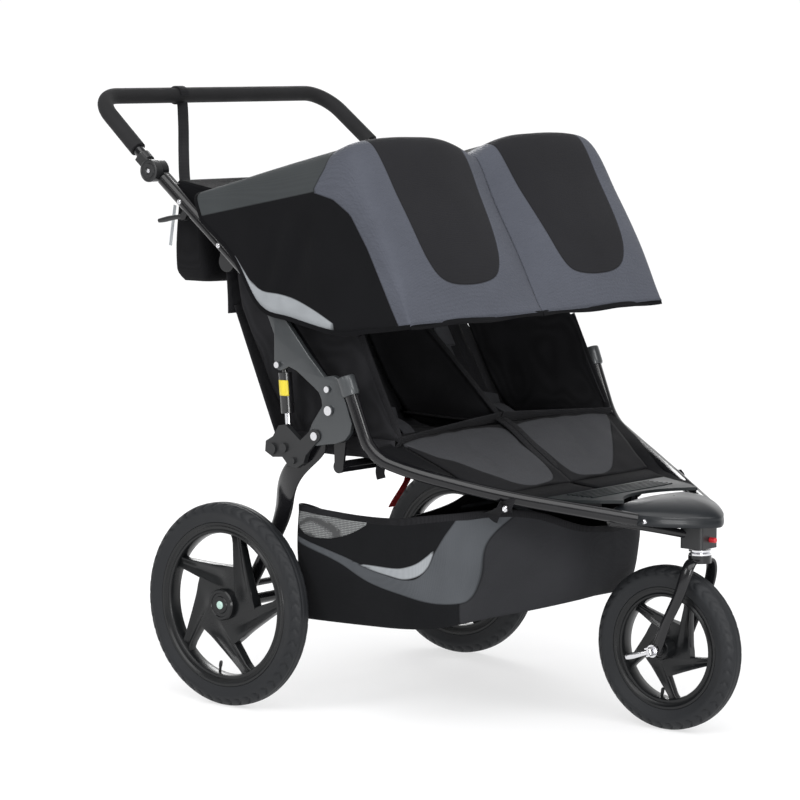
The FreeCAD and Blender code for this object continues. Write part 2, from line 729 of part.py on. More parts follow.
def release_levers():
    tip = (186, 946)
    along = unit(LEVER_PIVOT, tip)
    low, high = 354, 361.6
    grip = blade([(357.5, LEVER_PIVOT[0] + 4, LEVER_PIVOT[1] - 1, 3.8, 4.5),
                  (357.5, LEVER_PIVOT[0] + along[0] * 35, LEVER_PIVOT[1] + along[1] * 35 + 2, 3.8, 5),
                  (357.5, tip[0] - 12, tip[1] + 2, 3.8, 5), (357.5, *tip, 3.5, 4)])
    lever = cross_rod(low, high, *LEVER_PIVOT, 7).fuse(grip)
    shape_sides("release_lever", lever.cut(cross_rod(low - 1, high + 1, *LEVER_PIVOT, 3.5 + GAP)))


# ---------------------------------------------------------------- soft goods
def soft_round(shape, radius):
    return shape.makeFillet(radius, shape.Edges)


def seats():
    inner = size("seat_inner")
    outer = size("seat_outer")
    thick = size("seat_pad")
    base = Part.makeBox(outer - inner, 232, thick, Vector(inner, -392, 513))
    shape_sides("seat_base", soft_round(base, 8))
    hinge = Vector(inner, -size("recline_ahead"), size("recline_height"))
    back = Part.makeBox(outer - inner, thick, 330, Vector(0, -thick / 2, 6))
    roll = Part.makeCylinder(7, outer - inner, Vector(0, 0, 0), Vector(1, 0, 0))
    back = soft_round(back, 8).fuse(roll)
    back.Placement = Placement(hinge, Rotation(LEFT, -29.3))
    shape_sides("seat_back", back)
    panel = slab([(-397, 540), (-397, 524), (-562, 440), (-562, 456)], inner, 330)
    taper = prism_up([(inner, -390), (inner, -570), (252, -570), (328, -395)], 400, 600)
    shape_sides("leg_panel", panel.common(taper))


CANOPY_SIDE = [(53, 1011), (22, 963), (-59, 899), (-125, 797), (-151, 789), (-317, 751)]
CANOPY_SPLIT = -314


def canopies():
    inner = size("canopy_inner")
    outer = size("canopy_outer")
    wall = size("fabric")
    edge = CANOPY_SPLIT + 1
    rear = slab(CANOPY_SIDE[:-1] + [(edge, 752), (edge, 1103), (-273, 1098)], inner, outer)
    hollow = slab([(75, 1000), (0, 700), (edge - 20, 700), (edge - 20, 1100), (-273, 1094.5), (53, 1007.5)],
                  inner + wall, outer - wall)
    shape_sides("canopy_rear", rear.cut(hollow))
    edge = CANOPY_SPLIT - 1
    front = slab([(edge, 1103), (edge, 752), (-494, 775), (-490, 800), (-354, 1090), (-338, 1106)], inner, outer)
    hollow = slab([(edge + 20, 1099.5), (edge + 20, 700), (-489, 700), (-489, 776), (-486, 800), (-351, 1088),
                   (-336, 1102)], inner + wall, outer - wall)
    shape_sides("canopy_front", front.cut(hollow))


def bag():
    outer = Part.makeBox(650, 97, 164, Vector(-325, 88, 821))
    inner = Part.makeBox(642, 89, 170, Vector(-321, 92, 825))
    keep(made_shape("storage_bag", outer.cut(inner)))


BASKET_SIDE = [(-151, 396), (-620, 412), (-664, 372), (-655, 245), (-502, 196), (-173, 181)]
BASKET_PLAN = [(326, -151), (326, -400), (285, -512), (88, -656)]


def inset(points, centre, gap):
    """Outline moved towards a centre by roughly the gap."""
    moved = []
    for first, second in points:
        length = math.hypot(first - centre[0], second - centre[1])
        scale = (length - gap) / length
        moved.append((centre[0] + (first - centre[0]) * scale, centre[1] + (second - centre[1]) * scale))
    return moved


def basket():
    wall = size("basket_wall")
    plan = BASKET_PLAN + [(-x, y) for x, y in reversed(BASKET_PLAN)]
    outer = slab(BASKET_SIDE, -330, 330).common(prism_up(plan, 170, 440))
    low = inset(BASKET_SIDE, (-400, 300), 2 * wall)
    raised = [(low[0][0], 460), (low[1][0], 460), (low[2][0], 460)] + low[2:]
    inner = slab(raised, -330, 330).common(prism_up(inset(plan, (0, -400), 2 * wall), 170, 470))
    dip = Part.makeCylinder(678, 60, Vector(0, -200, 1008), Vector(0, 1, 0))
    keep(made_shape("basket", outer.cut(inner).cut(dip)))


def straps():
    red = slab([(-147, 428), (-143, 428), (-101, 362), (-105, 362)], 5, 25)
    keep(made_shape("fold_strap", red))
    top = Vector(-105, 357, 1170)
    run = Vector(-337, 131, 1002) - top
    across = Vector(6.7, -7.9, 1.2)
    thick = run.cross(across)
    thick.normalize()
    corners = [top - across, top + across, top + across + thick * 2, top - across + thick * 2]
    ribbon = Part.Face(Part.makePolygon(corners + corners[:1])).extrude(run)
    keep(made_shape("handle_strap", ribbon))


# ---------------------------------------------------------------- build and write
rear_wheels()
front_wheel()
fork()
head()
rails()
nose()
footrest()
brackets()
hinge_plates()
frame_bolts()
swing_arms()
rear_axle()
brake()
rockers()
shocks()
uprights()
canopy_hinges()
handlebar()
release_levers()
seats()
canopies()
bag()
basket()
straps()

doc.recompute()
for item in doc.Objects:
    if "Invalid" in item.State or "Error" in item.State:
        raise RuntimeError(f"{item.Label}: {item.State}")
for piece in pieces:
    if piece.Shape.isNull() or not piece.Shape.isValid() or not piece.Shape.Solids:
        raise RuntimeError(f"{piece.Label}: bad shape")

os.makedirs("parts", exist_ok=True)
whole = FreeCAD.BoundBox()
for piece in pieces:
    piece.Shape.exportStep(f"parts/{piece.Label}.step")
    whole.add(piece.Shape.BoundBox)
    print(f"{piece.Label}: {len(piece.Shape.Solids)} solids, {piece.Shape.Volume / 1000:.0f} cm3")
print(f"{len(pieces)} sub-parts, X {whole.XMin:.1f} {whole.XMax:.1f} Y {whole.YMin:.1f} {whole.YMax:.1f} "
      f"Z {whole.ZMin:.1f} {whole.ZMax:.1f}")
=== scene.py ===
import math

import bmesh
import bpy
import numpy as np
from mathutils import Matrix, Vector, noise


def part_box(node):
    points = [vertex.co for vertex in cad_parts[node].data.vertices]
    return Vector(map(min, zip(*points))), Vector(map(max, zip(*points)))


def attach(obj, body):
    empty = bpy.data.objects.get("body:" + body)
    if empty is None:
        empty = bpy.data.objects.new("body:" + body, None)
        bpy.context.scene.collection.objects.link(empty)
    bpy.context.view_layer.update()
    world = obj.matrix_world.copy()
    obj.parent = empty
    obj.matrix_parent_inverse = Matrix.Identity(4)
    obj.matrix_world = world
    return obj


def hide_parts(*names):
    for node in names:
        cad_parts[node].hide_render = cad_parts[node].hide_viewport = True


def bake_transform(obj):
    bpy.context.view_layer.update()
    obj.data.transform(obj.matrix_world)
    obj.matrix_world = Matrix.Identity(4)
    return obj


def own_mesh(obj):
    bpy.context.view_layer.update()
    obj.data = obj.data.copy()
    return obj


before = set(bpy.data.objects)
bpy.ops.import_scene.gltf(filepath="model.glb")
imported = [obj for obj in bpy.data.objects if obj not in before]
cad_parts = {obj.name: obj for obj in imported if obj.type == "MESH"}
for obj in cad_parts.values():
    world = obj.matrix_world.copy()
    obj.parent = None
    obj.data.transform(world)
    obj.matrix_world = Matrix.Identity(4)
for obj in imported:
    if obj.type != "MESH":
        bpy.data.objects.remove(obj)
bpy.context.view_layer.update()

MM = 0.001
SIDES = (("left", 1), ("right", -1))

# The rear axle line sets every position: lengths below are mm from the floor point under it.
rim_low, rim_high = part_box("rear_rim_left")
AXLE_Y = (rim_low.y + rim_high.y) / 2


def at(x, y, z):
    return Vector((x * MM, y * MM + AXLE_Y, z * MM))


def shifted(points):
    """Array of mm points about the rear axle, as metres in the row frame."""
    return np.asarray(points, float) * MM + np.array([0.0, AXLE_Y, 0.0])


# ---------------------------------------------------------------- camera and light
def camera():
    azimuth, elevation, distance = math.radians(-50.385), math.radians(6.1735), 6.4508
    target = at(0, -136.5, 581.9)
    away = Vector((math.sin(azimuth) * math.cos(elevation), -math.cos(azimuth) * math.cos(elevation),
                   math.sin(elevation)))
    data = bpy.data.cameras.new("camera")
    data.sensor_width = 36.0
    data.lens = 144.4
    made = bpy.data.objects.new("camera", data)
    bpy.context.collection.objects.link(made)
    made.location = target + away * distance
    made.rotation_euler = (-away).to_track_quat("-Z", "Y").to_euler()
    bpy.context.scene.camera = made


def area_light(name, place, aim, width, power):
    data = bpy.data.lights.new(name, "AREA")
    data.shape = "RECTANGLE"
    data.size = width
    data.size_y = width
    data.energy = power
    made = bpy.data.objects.new(name, data)
    bpy.context.collection.objects.link(made)
    made.location = place
    made.rotation_euler = (Vector(aim) - Vector(place)).to_track_quat("-Z", "Y").to_euler()


def studio():
    backdrop()
    bpy.context.scene.view_settings.view_transform = "Standard"
    sun = bpy.data.lights.new("key_sun", "SUN")
    sun.energy = 2.5
    sun.angle = 1.1
    key = bpy.data.objects.new("key_sun", sun)
    bpy.context.collection.objects.link(key)
    key.rotation_euler = Vector((0.55, 0.42, -1.0)).to_track_quat("-Z", "Y").to_euler()
    area_light("side_box", (-3.4, 0.6, 1.9), (0, 0, 0.55), 1.3, 32)
    area_light("front_box", (-0.4, -4.0, 2.4), (0, -0.2, 0.6), 1.4, 46)
    area_light("seat_box", (-2.1, -3.6, 0.75), (0, -0.3, 0.6), 1.1, 46)
    area_light("rim_box", (2.6, 2.6, 2.4), (0, 0, 0.8), 1.6, 60)
    floor_mesh = bpy.data.meshes.new("floor")
    reach = 400.0
    corners = [(-reach, -reach, 0), (reach, -reach, 0), (reach, reach, 0), (-reach, reach, 0)]
    floor_mesh.from_pydata(corners, [], [(0, 1, 2, 3)])
    floor = bpy.data.objects.new("floor", floor_mesh)
    bpy.context.collection.objects.link(floor)
    paper = Shade("floor_paper", (0.34, 0.34, 0.345), 0.9, specular=0.05)
    glow = paper.material.node_tree.nodes["Principled BSDF"]
    glow.inputs["Emission Color"].default_value = (1.0, 1.0, 1.0, 1.0)
    glow.inputs["Emission Strength"].default_value = 0.64
    floor.data.materials.append(paper.material)


def backdrop():
    """White studio wall on the far side, dim room elsewhere, so that dark finishes keep their depth."""
    world = bpy.data.worlds.new("studio")
    world.use_nodes = True
    tree = world.node_tree
    place = tree.nodes.new("ShaderNodeTexCoord")
    facing = tree.nodes.new("ShaderNodeVectorMath")
    facing.operation = "DOT_PRODUCT"
    facing.inputs[1].default_value = (0.770, 0.638, 0.0)
    tree.links.new(place.outputs["Generated"], facing.inputs[0])
    level = tree.nodes.new("ShaderNodeMapRange")
    level.inputs["From Min"].default_value = -0.05
    level.inputs["From Max"].default_value = 0.7
    level.inputs["To Min"].default_value = 0.22
    level.inputs["To Max"].default_value = 1.02
    tree.links.new(facing.outputs["Value"], level.inputs["Value"])
    tree.links.new(level.outputs["Result"], tree.nodes["Background"].inputs["Strength"])
    tree.nodes["Background"].inputs["Color"].default_value = (1.0, 1.0, 1.0, 1.0)
    bpy.context.scene.world = world


# ---------------------------------------------------------------- materials
class Shade:
    """A Principled material with helpers for the node chains that the finishes share."""

    def __init__(self, name, color, rough, metallic=0.0, coat=0.0, coat_rough=0.1, sheen=0.0, specular=0.5):
        self.material = bpy.data.materials.new(name)
        self.material.use_nodes = True
        self.tree = self.material.node_tree
        self.shader = self.tree.nodes["Principled BSDF"]
        for socket, value in (("Base Color", (*color, 1.0)), ("Roughness", rough), ("Metallic", metallic),
                              ("Coat Weight", coat), ("Coat Roughness", coat_rough), ("Sheen Weight", sheen),
                              ("Specular IOR Level", specular)):
            self.shader.inputs[socket].default_value = value
        self.place = self.tree.nodes.new("ShaderNodeTexCoord").outputs["Object"]

    def add(self, kind, **values):
        made = self.tree.nodes.new(kind)
        for key, value in values.items():
            setattr(made, key, value)
        return made

    def link(self, source, target):
        self.tree.links.new(source, target)

    def math(self, operation, first, second=None, clamp=False):
        made = self.add("ShaderNodeMath", operation=operation, use_clamp=clamp)
        for socket, value in zip(made.inputs, (first, second)):
            if value is None:
                continue
            if isinstance(value, (int, float)):
                socket.default_value = value
            else:
                self.link(value, socket)
        return made.outputs[0]

    def noise(self, scale, detail=3.0, stretch=None):
        made = self.add("ShaderNodeTexNoise")
        made.inputs["Scale"].default_value = scale
        made.inputs["Detail"].default_value = detail
        if stretch:
            mapping = self.add("ShaderNodeMapping")
            mapping.inputs["Scale"].default_value = stretch
            self.link(self.place, mapping.inputs["Vector"])
            self.link(mapping.outputs[0], made.inputs["Vector"])
        else:
            self.link(self.place, made.inputs["Vector"])
        return made.outputs["Fac"]

    def threads(self, pitch):
        """Crossed threads: a sine along each axis, so that the weave shows on a face of any direction."""
        split = self.add("ShaderNodeSeparateXYZ")
        self.link(self.place, split.inputs[0])
        total = None
        for axis in range(3):
            wave = self.math("SINE", self.math("MULTIPLY", split.outputs[axis], 2 * math.pi / pitch))
            total = wave if total is None else self.math("ADD", total, wave)
        return self.math("MULTIPLY", total, 0.33)

    def blend_color(self, factor, first, second):
        made = self.add("ShaderNodeMix", data_type="RGBA")
        self.link(factor, made.inputs["Factor"])
        for socket, value in ((made.inputs[6], first), (made.inputs[7], second)):
            if isinstance(value, tuple):
                socket.default_value = (*value, 1.0)
            else:
                self.link(value, socket)
        return made.outputs[2]

    def spread(self, source, low, high, to_low, to_high):
        made = self.add("ShaderNodeMapRange")
        for socket, value in zip(made.inputs[1:5], (low, high, to_low, to_high)):
            socket.default_value = value
        self.link(source, made.inputs[0])
        return made.outputs[0]

    def color_from(self, source):
        self.link(source, self.shader.inputs["Base Color"])

    def rough_from(self, source):
        self.link(source, self.shader.inputs["Roughness"])

    def bump(self, height, distance, strength=1.0):
        made = self.add("ShaderNodeBump")
        made.inputs["Strength"].default_value = strength
        made.inputs["Distance"].default_value = distance
        self.link(height, made.inputs["Height"])
        self.link(made.outputs[0], self.shader.inputs["Normal"])

    def field(self, name):
        return self.add("ShaderNodeAttribute", attribute_name=name).outputs["Fac"]

    def inside(self, name):
        """1 where a signed distance field in mm is positive, with a soft edge a thread wide."""
        return self.spread(self.field(name), -0.4, 0.4, 0.0, 1.0)


def scaled(color, factor):
    return tuple(min(1.0, channel * factor) for channel in color)


def solid_finish(name, color, rough, metallic=0.0, coat=0.0, grain=900.0, bump=0.00006, wear=0.15, **more):
    """Moulded, painted or machined surface: fine grain, cloudy gloss and a slight colour drift."""
    made = Shade(name, color, rough, metallic, coat, **more)
    cloud = made.noise(14.0, 4.0)
    made.color_from(made.blend_color(cloud, scaled(color, 1 - wear), scaled(color, 1 + wear * 1.6)))
    made.rough_from(made.spread(cloud, 0.3, 0.7, max(rough - 0.07, 0.02), min(rough + 0.09, 1.0)))
    made.bump(made.noise(grain, 2.0), bump)
    return made.material


def cloth_finish(name, color, rough=0.85, pitch=0.0018, bump=0.00025, sheen=0.02, wrinkle=0.0020, drift=0.35):
    """Woven cloth: crossed threads, cloudy shade and soft creases."""
    made = Shade(name, color, rough, sheen=sheen, specular=0.06)
    threads = made.threads(pitch)
    cloud = made.noise(9.0, 5.0)
    shade = made.math("ADD", made.math("MULTIPLY", threads, 0.35), cloud)
    made.color_from(made.blend_color(made.spread(shade, 0.2, 0.9, 0.0, 1.0), scaled(color, 1 - drift),
                                     scaled(color, 1 + drift)))
    creases = made.noise(7.0, 2.0)
    height = made.math("ADD", made.math("MULTIPLY", threads, bump / 0.001),
                       made.math("MULTIPLY", creases, wrinkle / 0.001))
    made.bump(height, 0.001, 0.8)
    return made.material


def zoned_cloth(name, base, zones, pitch=0.0018, rough=0.8):
    """Cloth made of sewn panels: each zone is (field, colour, roughness, ripple) painted over the last."""
    made = Shade(name, base, rough, sheen=0.02, specular=0.07)
    threads = made.threads(pitch)
    cloud = made.noise(8.0, 5.0)
    color = made.blend_color(cloud, scaled(base, 0.7), scaled(base, 1.35))
    rough_value = made.add("ShaderNodeMath", operation="MULTIPLY")
    made.link(cloud, rough_value.inputs[0])
    rough_value.inputs[1].default_value = 0.06
    roughness = made.math("ADD", rough_value.outputs[0], rough - 0.03)
    ripple_total = made.math("MULTIPLY", threads, 0.22)
    ripples = made.add("ShaderNodeTexWave", wave_type="BANDS", bands_direction="Z")
    for socket, value in (("Scale", 38.0), ("Distortion", 9.0), ("Detail", 3.0), ("Detail Scale", 2.4)):
        ripples.inputs[socket].default_value = value
    made.link(made.place, ripples.inputs["Vector"])
    for field, tint, tint_rough, ripple in zones:
        mask = made.inside(field)
        shade = made.blend_color(made.math("ADD", made.math("MULTIPLY", threads, 0.25), cloud),
                                 scaled(tint, 0.82), scaled(tint, 1.2))
        color = made.blend_color(mask, color, shade)
        keep = made.math("MULTIPLY", roughness, made.math("SUBTRACT", 1.0, mask))
        roughness = made.math("ADD", keep, made.math("MULTIPLY", mask, tint_rough))
        ripple_total = made.math("MULTIPLY", ripple_total, made.math("SUBTRACT", 1.0, mask))
        raised = made.math("ADD", made.math("MULTIPLY", ripples.outputs["Fac"], ripple),
                           made.math("MULTIPLY", threads, 0.2))
        ripple_total = made.math("ADD", ripple_total, made.math("MULTIPLY", mask, raised))
        distance = made.math("ABSOLUTE", made.field(field))
        seam = made.spread(distance, 0.0, 2.6, -1.3, 0.0)
        ripple_total = made.math("ADD", ripple_total, seam)
        color = made.blend_color(made.spread(distance, 0.5, 2.2, 0.55, 0.0), color, scaled(base, 0.6))
    made.color_from(color)
    made.rough_from(roughness)
    made.bump(ripple_total, 0.0007, 0.9)
    return made.material


BLACK = (0.0048, 0.0049, 0.0058)
SLATE = (0.070, 0.075, 0.092)
MATERIALS = {}


def materials():
    MATERIALS.update({
        "frame": solid_finish("black_powder_coat", (0.006, 0.006, 0.007), 0.2, coat=0.3, grain=1400, bump=0.00003, specular=0.3),
        "bracket": solid_finish("grey_bracket_paint", (0.040, 0.044, 0.047), 0.36, metallic=0.3, coat=0.35),
        "plate": solid_finish("dark_plated_steel", (0.11, 0.11, 0.115), 0.3, metallic=0.9),
        "chrome": solid_finish("polished_steel", (0.72, 0.72, 0.74), 0.16, metallic=1.0, wear=0.08),
        "nose": solid_finish("nose_plastic", (0.0085, 0.0100, 0.0120), 0.34, coat=0.08, grain=700, specular=0.28),
        "mat": solid_finish("footrest_rubber", (0.010, 0.0125, 0.0135), 0.5, grain=500, bump=0.0001, specular=0.25),
        "foam": solid_finish("grip_foam", (0.011, 0.011, 0.012), 0.78, grain=1500, bump=0.00018, specular=0.3),
        "plastic": solid_finish("black_plastic", (0.011, 0.0115, 0.0125), 0.40, grain=800, bump=0.00008),
        "rim": solid_finish("rim_plastic", (0.0055, 0.0060, 0.0066), 0.30, grain=900, bump=0.00007, coat=0.05, specular=0.32),
        "shock": solid_finish("shock_paint", (0.008, 0.008, 0.009), 0.28, coat=0.5),
        "tyre": solid_finish("tyre_rubber", (0.0110, 0.0120, 0.0138), 0.56, grain=420, bump=0.00022, specular=0.3),
        "button": solid_finish("hub_button", (0.40, 0.56, 0.50), 0.35),
        "red": solid_finish("red_plastic", (0.42, 0.012, 0.018), 0.36),
        "yellow": solid_finish("yellow_plastic", (0.62, 0.50, 0.03), 0.4),
        "cloth": cloth_finish("black_cloth", BLACK),
        "seat": cloth_finish("seat_cloth", (0.019, 0.019, 0.021), wrinkle=0.0026),
        "bag": cloth_finish("bag_cloth", (0.009, 0.009, 0.010), wrinkle=0.002),
        "reflective": cloth_finish("reflective_tape", (0.36, 0.38, 0.40), 0.4, pitch=0.0012),
        "harness": cloth_finish("harness_webbing", (0.060, 0.061, 0.067), 0.8, pitch=0.0016),
        "web": cloth_finish("webbing", (0.014, 0.014, 0.0155), pitch=0.0026, bump=0.0006, rough=0.7, wrinkle=0.0),
        "red_web": cloth_finish("red_webbing", (0.30, 0.010, 0.012), pitch=0.0026, bump=0.0006, wrinkle=0.0),
        "canopy": zoned_cloth("canopy_cloth", BLACK, [
            ("strip", (0.042, 0.046, 0.048), 0.72, 0.05), ("front", SLATE, 0.55, 0.85),
            ("tongue", (0.0150, 0.0150, 0.0170), 0.74, 0.0), ("silver", (0.27, 0.285, 0.30), 0.42, 0.1)]),
        "basket": zoned_cloth("basket_cloth", (0.0075, 0.0078, 0.0088), [
            ("charcoal", (0.024, 0.0245, 0.027), 0.8, 0.15), ("grey", (0.068, 0.073, 0.080), 0.72, 0.1),
            ("silver", (0.27, 0.285, 0.30), 0.45, 0.1)]),
        "calf": zoned_cloth("leg_panel_cloth", (0.0095, 0.0095, 0.0105), [("inset", (0.043, 0.044, 0.048), 0.78, 0.3)]),
        "net": net_finish(),
    })


def net_finish():
    """Open mesh: light threads around dark holes."""
    made = Shade("basket_net", (0.1, 0.1, 0.1), 0.7)
    holes = made.add("ShaderNodeTexVoronoi", feature="DISTANCE_TO_EDGE")
    holes.inputs["Scale"].default_value = 300.0
    holes.inputs["Randomness"].default_value = 0.12
    made.link(made.place, holes.inputs["Vector"])
    thread = made.spread(holes.outputs["Distance"], 0.10, 0.26, 1.0, 0.0)
    made.color_from(made.blend_color(thread, (0.30, 0.31, 0.31), (0.045, 0.046, 0.047)))
    made.bump(thread, 0.0005)
    return made.material


# ---------------------------------------------------------------- mesh helpers
class Builder:
    """Collects grids of points into one mesh."""

    def __init__(self):
        self.points = []
        self.faces = []
        self.count = 0

    def grid(self, points, closed_u=False, closed_v=False, flip=False):
        points = np.asarray(points, float)
        rows, columns = points.shape[:2]
        base = self.count
        self.points.append(points.reshape(-1, 3))
        self.count += rows * columns
        for row in range(rows if closed_u else rows - 1):
            for column in range(columns if closed_v else columns - 1):
                below = (row + 1) % rows
                beside = (column + 1) % columns
                face = [base + row * columns + column, base + row * columns + beside,
                        base + below * columns + beside, base + below * columns + column]
                self.faces.append(tuple(reversed(face)) if flip else tuple(face))
        return base

    def cap(self, base, columns, row, flip=False):
        ring = [base + row * columns + column for column in range(columns)]
        self.faces.append(tuple(reversed(ring)) if flip else tuple(ring))

    def mesh(self, name):
        made = bpy.data.meshes.new(name)
        made.from_pydata(np.concatenate(self.points).tolist(), [], self.faces)
        made.validate()
        return made


def spline(keys, count):
    """Catmull-Rom curve through the keys, evenly spaced in key number."""
    keys = np.asarray(keys, float)
    last = len(keys) - 1
    result = []
    for place in np.linspace(0, last, count):
        index = min(int(place), last - 1)
        t = place - index
        before = keys[index - 1] if index > 0 else 2 * keys[0] - keys[1]
        after = keys[index + 2] if index + 2 <= last else 2 * keys[last] - keys[last - 1]
        start, end = keys[index], keys[index + 1]
        result.append(0.5 * (2 * start + (end - before) * t + (2 * before - 5 * start + 4 * end - after) * t * t
                             + (3 * start - before - 3 * end + after) * t ** 3))
    return np.array(result)


def smooth(points):
    """Closed outline rounded through its points."""
    ring = list(points) + [points[0], points[1]]
    last = len(points)
    curve = spline([points[-1]] + ring, (last + 2) * 8 + 1)
    return curve[8:8 + last * 8]


def make_object(name, mesh, smooth_angle=40.0):
    made = bpy.data.objects.new(name, mesh)
    bpy.context.collection.objects.link(made)
    for polygon in mesh.polygons:
        polygon.use_smooth = True
    mesh.set_sharp_from_angle(angle=math.radians(smooth_angle))
    return made


def outward(mesh):
    work = bmesh.new()
    work.from_mesh(mesh)
    bmesh.ops.remove_doubles(work, verts=work.verts, dist=0.00002)
    bmesh.ops.recalc_face_normals(work, faces=work.faces)
    work.to_mesh(mesh)
    work.free()


def applied(thing):
    """Replaces the mesh by its evaluated one, so that no modifier is left."""
    graph = bpy.context.evaluated_depsgraph_get()
    mesh = bpy.data.meshes.new_from_object(thing.evaluated_get(graph))
    thing.modifiers.clear()
    thing.data = mesh
    return thing


def thicken(thing, thickness, offset=-1.0):
    solid = thing.modifiers.new("thickness", "SOLIDIFY")
    solid.thickness = thickness * MM
    solid.offset = offset
    return applied(thing)


def finish_piece(thing, material, body, replaces=()):
    thing.data.materials.clear()
    thing.data.materials.append(MATERIALS[material])
    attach(thing, body)
    if replaces:
        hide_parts(*replaces)
    return thing


def round_section(radius, count=14):
    return [(radius * math.cos(2 * math.pi * i / count), radius * math.sin(2 * math.pi * i / count))
            for i in range(count)]


def flat_section(width, thick, corner=4):
    """Webbing section: wide, thin, with rounded edges."""
    points = []
    for side in (1, -1):
        for step in range(corner + 1):
            angle = -math.pi / 2 + math.pi * step / corner
            points.append((side * (width / 2 - thick / 2 + thick / 2 * math.cos(angle)),
                           side * thick / 2 * math.sin(angle)))
    return points


def sweep(name, keys, section, across=(1, 0, 0), count=40, closed=False, straight=False):
    """Sweeps a section (mm) along mm points: its first direction stays near the vector across."""
    path = np.asarray(keys, float) if straight else spline(keys, count)
    total = len(path)
    across = np.array(across, float)
    rows = []
    for index in range(total):
        before = path[index - 1] if index > 0 or closed else path[index]
        after = path[(index + 1) % total] if index + 1 < total or closed else path[index]
        tangent = after - before
        tangent /= np.linalg.norm(tangent)
        wide = across - tangent * across.dot(tangent)
        wide /= np.linalg.norm(wide)
        high = np.cross(tangent, wide)
        rows.append([path[index] + wide * a + high * b for a, b in section])
    build = Builder()
    base = build.grid(shifted(rows), closed_u=closed, closed_v=True)
    if not closed:
        build.cap(base, len(section), 0)
        build.cap(base, len(section), total - 1, flip=True)
    mesh = build.mesh(name)
    outward(mesh)
    return make_object(name, mesh)


def signed_distance(points, polygon):
    """Distance in the plane to a polygon's edge, positive inside."""
    points = np.asarray(points, float)
    polygon = np.asarray(polygon, float)
    best = np.full(len(points), 1e9)
    inside = np.zeros(len(points), bool)
    for start, end in zip(polygon, np.roll(polygon, -1, axis=0)):
        edge = end - start
        t = np.clip(((points - start) @ edge) / edge.dot(edge), 0, 1)
        gap = points - (start + t[:, None] * edge)
        best = np.minimum(best, np.hypot(gap[:, 0], gap[:, 1]))
        crosses = (start[1] > points[:, 1]) != (end[1] > points[:, 1])
        with np.errstate(divide="ignore", invalid="ignore"):
            reach = (end[0] - start[0]) * (points[:, 1] - start[1]) / (end[1] - start[1]) + start[0]
        inside ^= crosses & (points[:, 0] < reach)
    return np.where(inside, best, -best)


def write_field(mesh, name, values):
    attribute = mesh.attributes.new(name, "FLOAT", "POINT")
    attribute.data.foreach_set("value", np.asarray(values, np.float32))


def local_mm(mesh):
    """Vertices of a mesh as mm about the rear axle."""
    points = np.array([vertex.co for vertex in mesh.vertices]).reshape(-1, 3)
    return (points - np.array([0.0, AXLE_Y, 0.0])) / MM


def mirrored_copy(thing, name):
    mesh = thing.data.copy()
    mesh.transform(Matrix.Diagonal((-1, 1, 1, 1)))
    mesh.flip_normals()
    mesh.name = name
    return make_object(name, mesh)


# ---------------------------------------------------------------- wheels
def tyre_points(mid, radius, width, seat, y, z, segments, blocks):
    """Rounded section with side sipes and two ribs cut into the crown."""
    columns = 56
    core = seat + 1.0
    deep = (radius - core) / 2
    centre = radius - deep * 1.02
    rows = []
    for segment in range(segments):
        turn = 2 * math.pi * segment / segments
        ring = []
        for column in range(columns):
            wanted = -128 + 256 * column / (columns - 1)
            bead = max(0.0, (abs(wanted) - 104) / 24)
            angle = math.radians(max(-104.0, min(104.0, wanted)))
            lean = abs(math.degrees(angle))
            cut = 0.0
            if 30 < lean < 84:
                swirl = math.sin((lean - 30) / 54 * math.pi) * 0.45
                phase = (turn * blocks / (2 * math.pi) + swirl + (0.5 if angle > 0 else 0)) % 1.0
                band = max(0.0, 1 - abs(phase - 0.5) / 0.13)
                cut = 3.0 * min(1.0, band * 1.6) * min(1.0, (lean - 30) / 6, (84 - lean) / 8)
            if 10 < lean < 18:
                cut = max(cut, 1.2)
            if 92 < lean < 97:
                cut = -0.7
            reach = 1 + 0.10 * max(0.0, math.sin(2 * abs(angle)))
            across = (width / 2) * math.sin(angle) * (1.0 if lean < 90 else 0.86 + 0.14 * math.sin(abs(angle)))
            out = centre + deep * math.cos(angle) * reach - cut * math.cos(angle)
            across -= math.copysign(cut, angle) * abs(math.sin(angle)) if lean < 90 else 0
            out = max(out, seat) * (1 - bead) + seat * bead
            across = across * (1 - bead) + math.copysign(width * 0.36, angle) * bead
            ring.append((mid + across, y + out * math.cos(turn), z + out * math.sin(turn)))
        rows.append(ring)
    return rows


def revolve_x(build, profile, y, z, segments=120, closed=True):
    """Turns (x, radius) points about the X axis through (y, z)."""
    rows = []
    for segment in range(segments):
        turn = 2 * math.pi * segment / segments
        rows.append([(x, y + r * math.cos(turn), z + r * math.sin(turn)) for x, r in profile])
    build.grid(shifted(rows), closed_u=True, closed_v=closed)


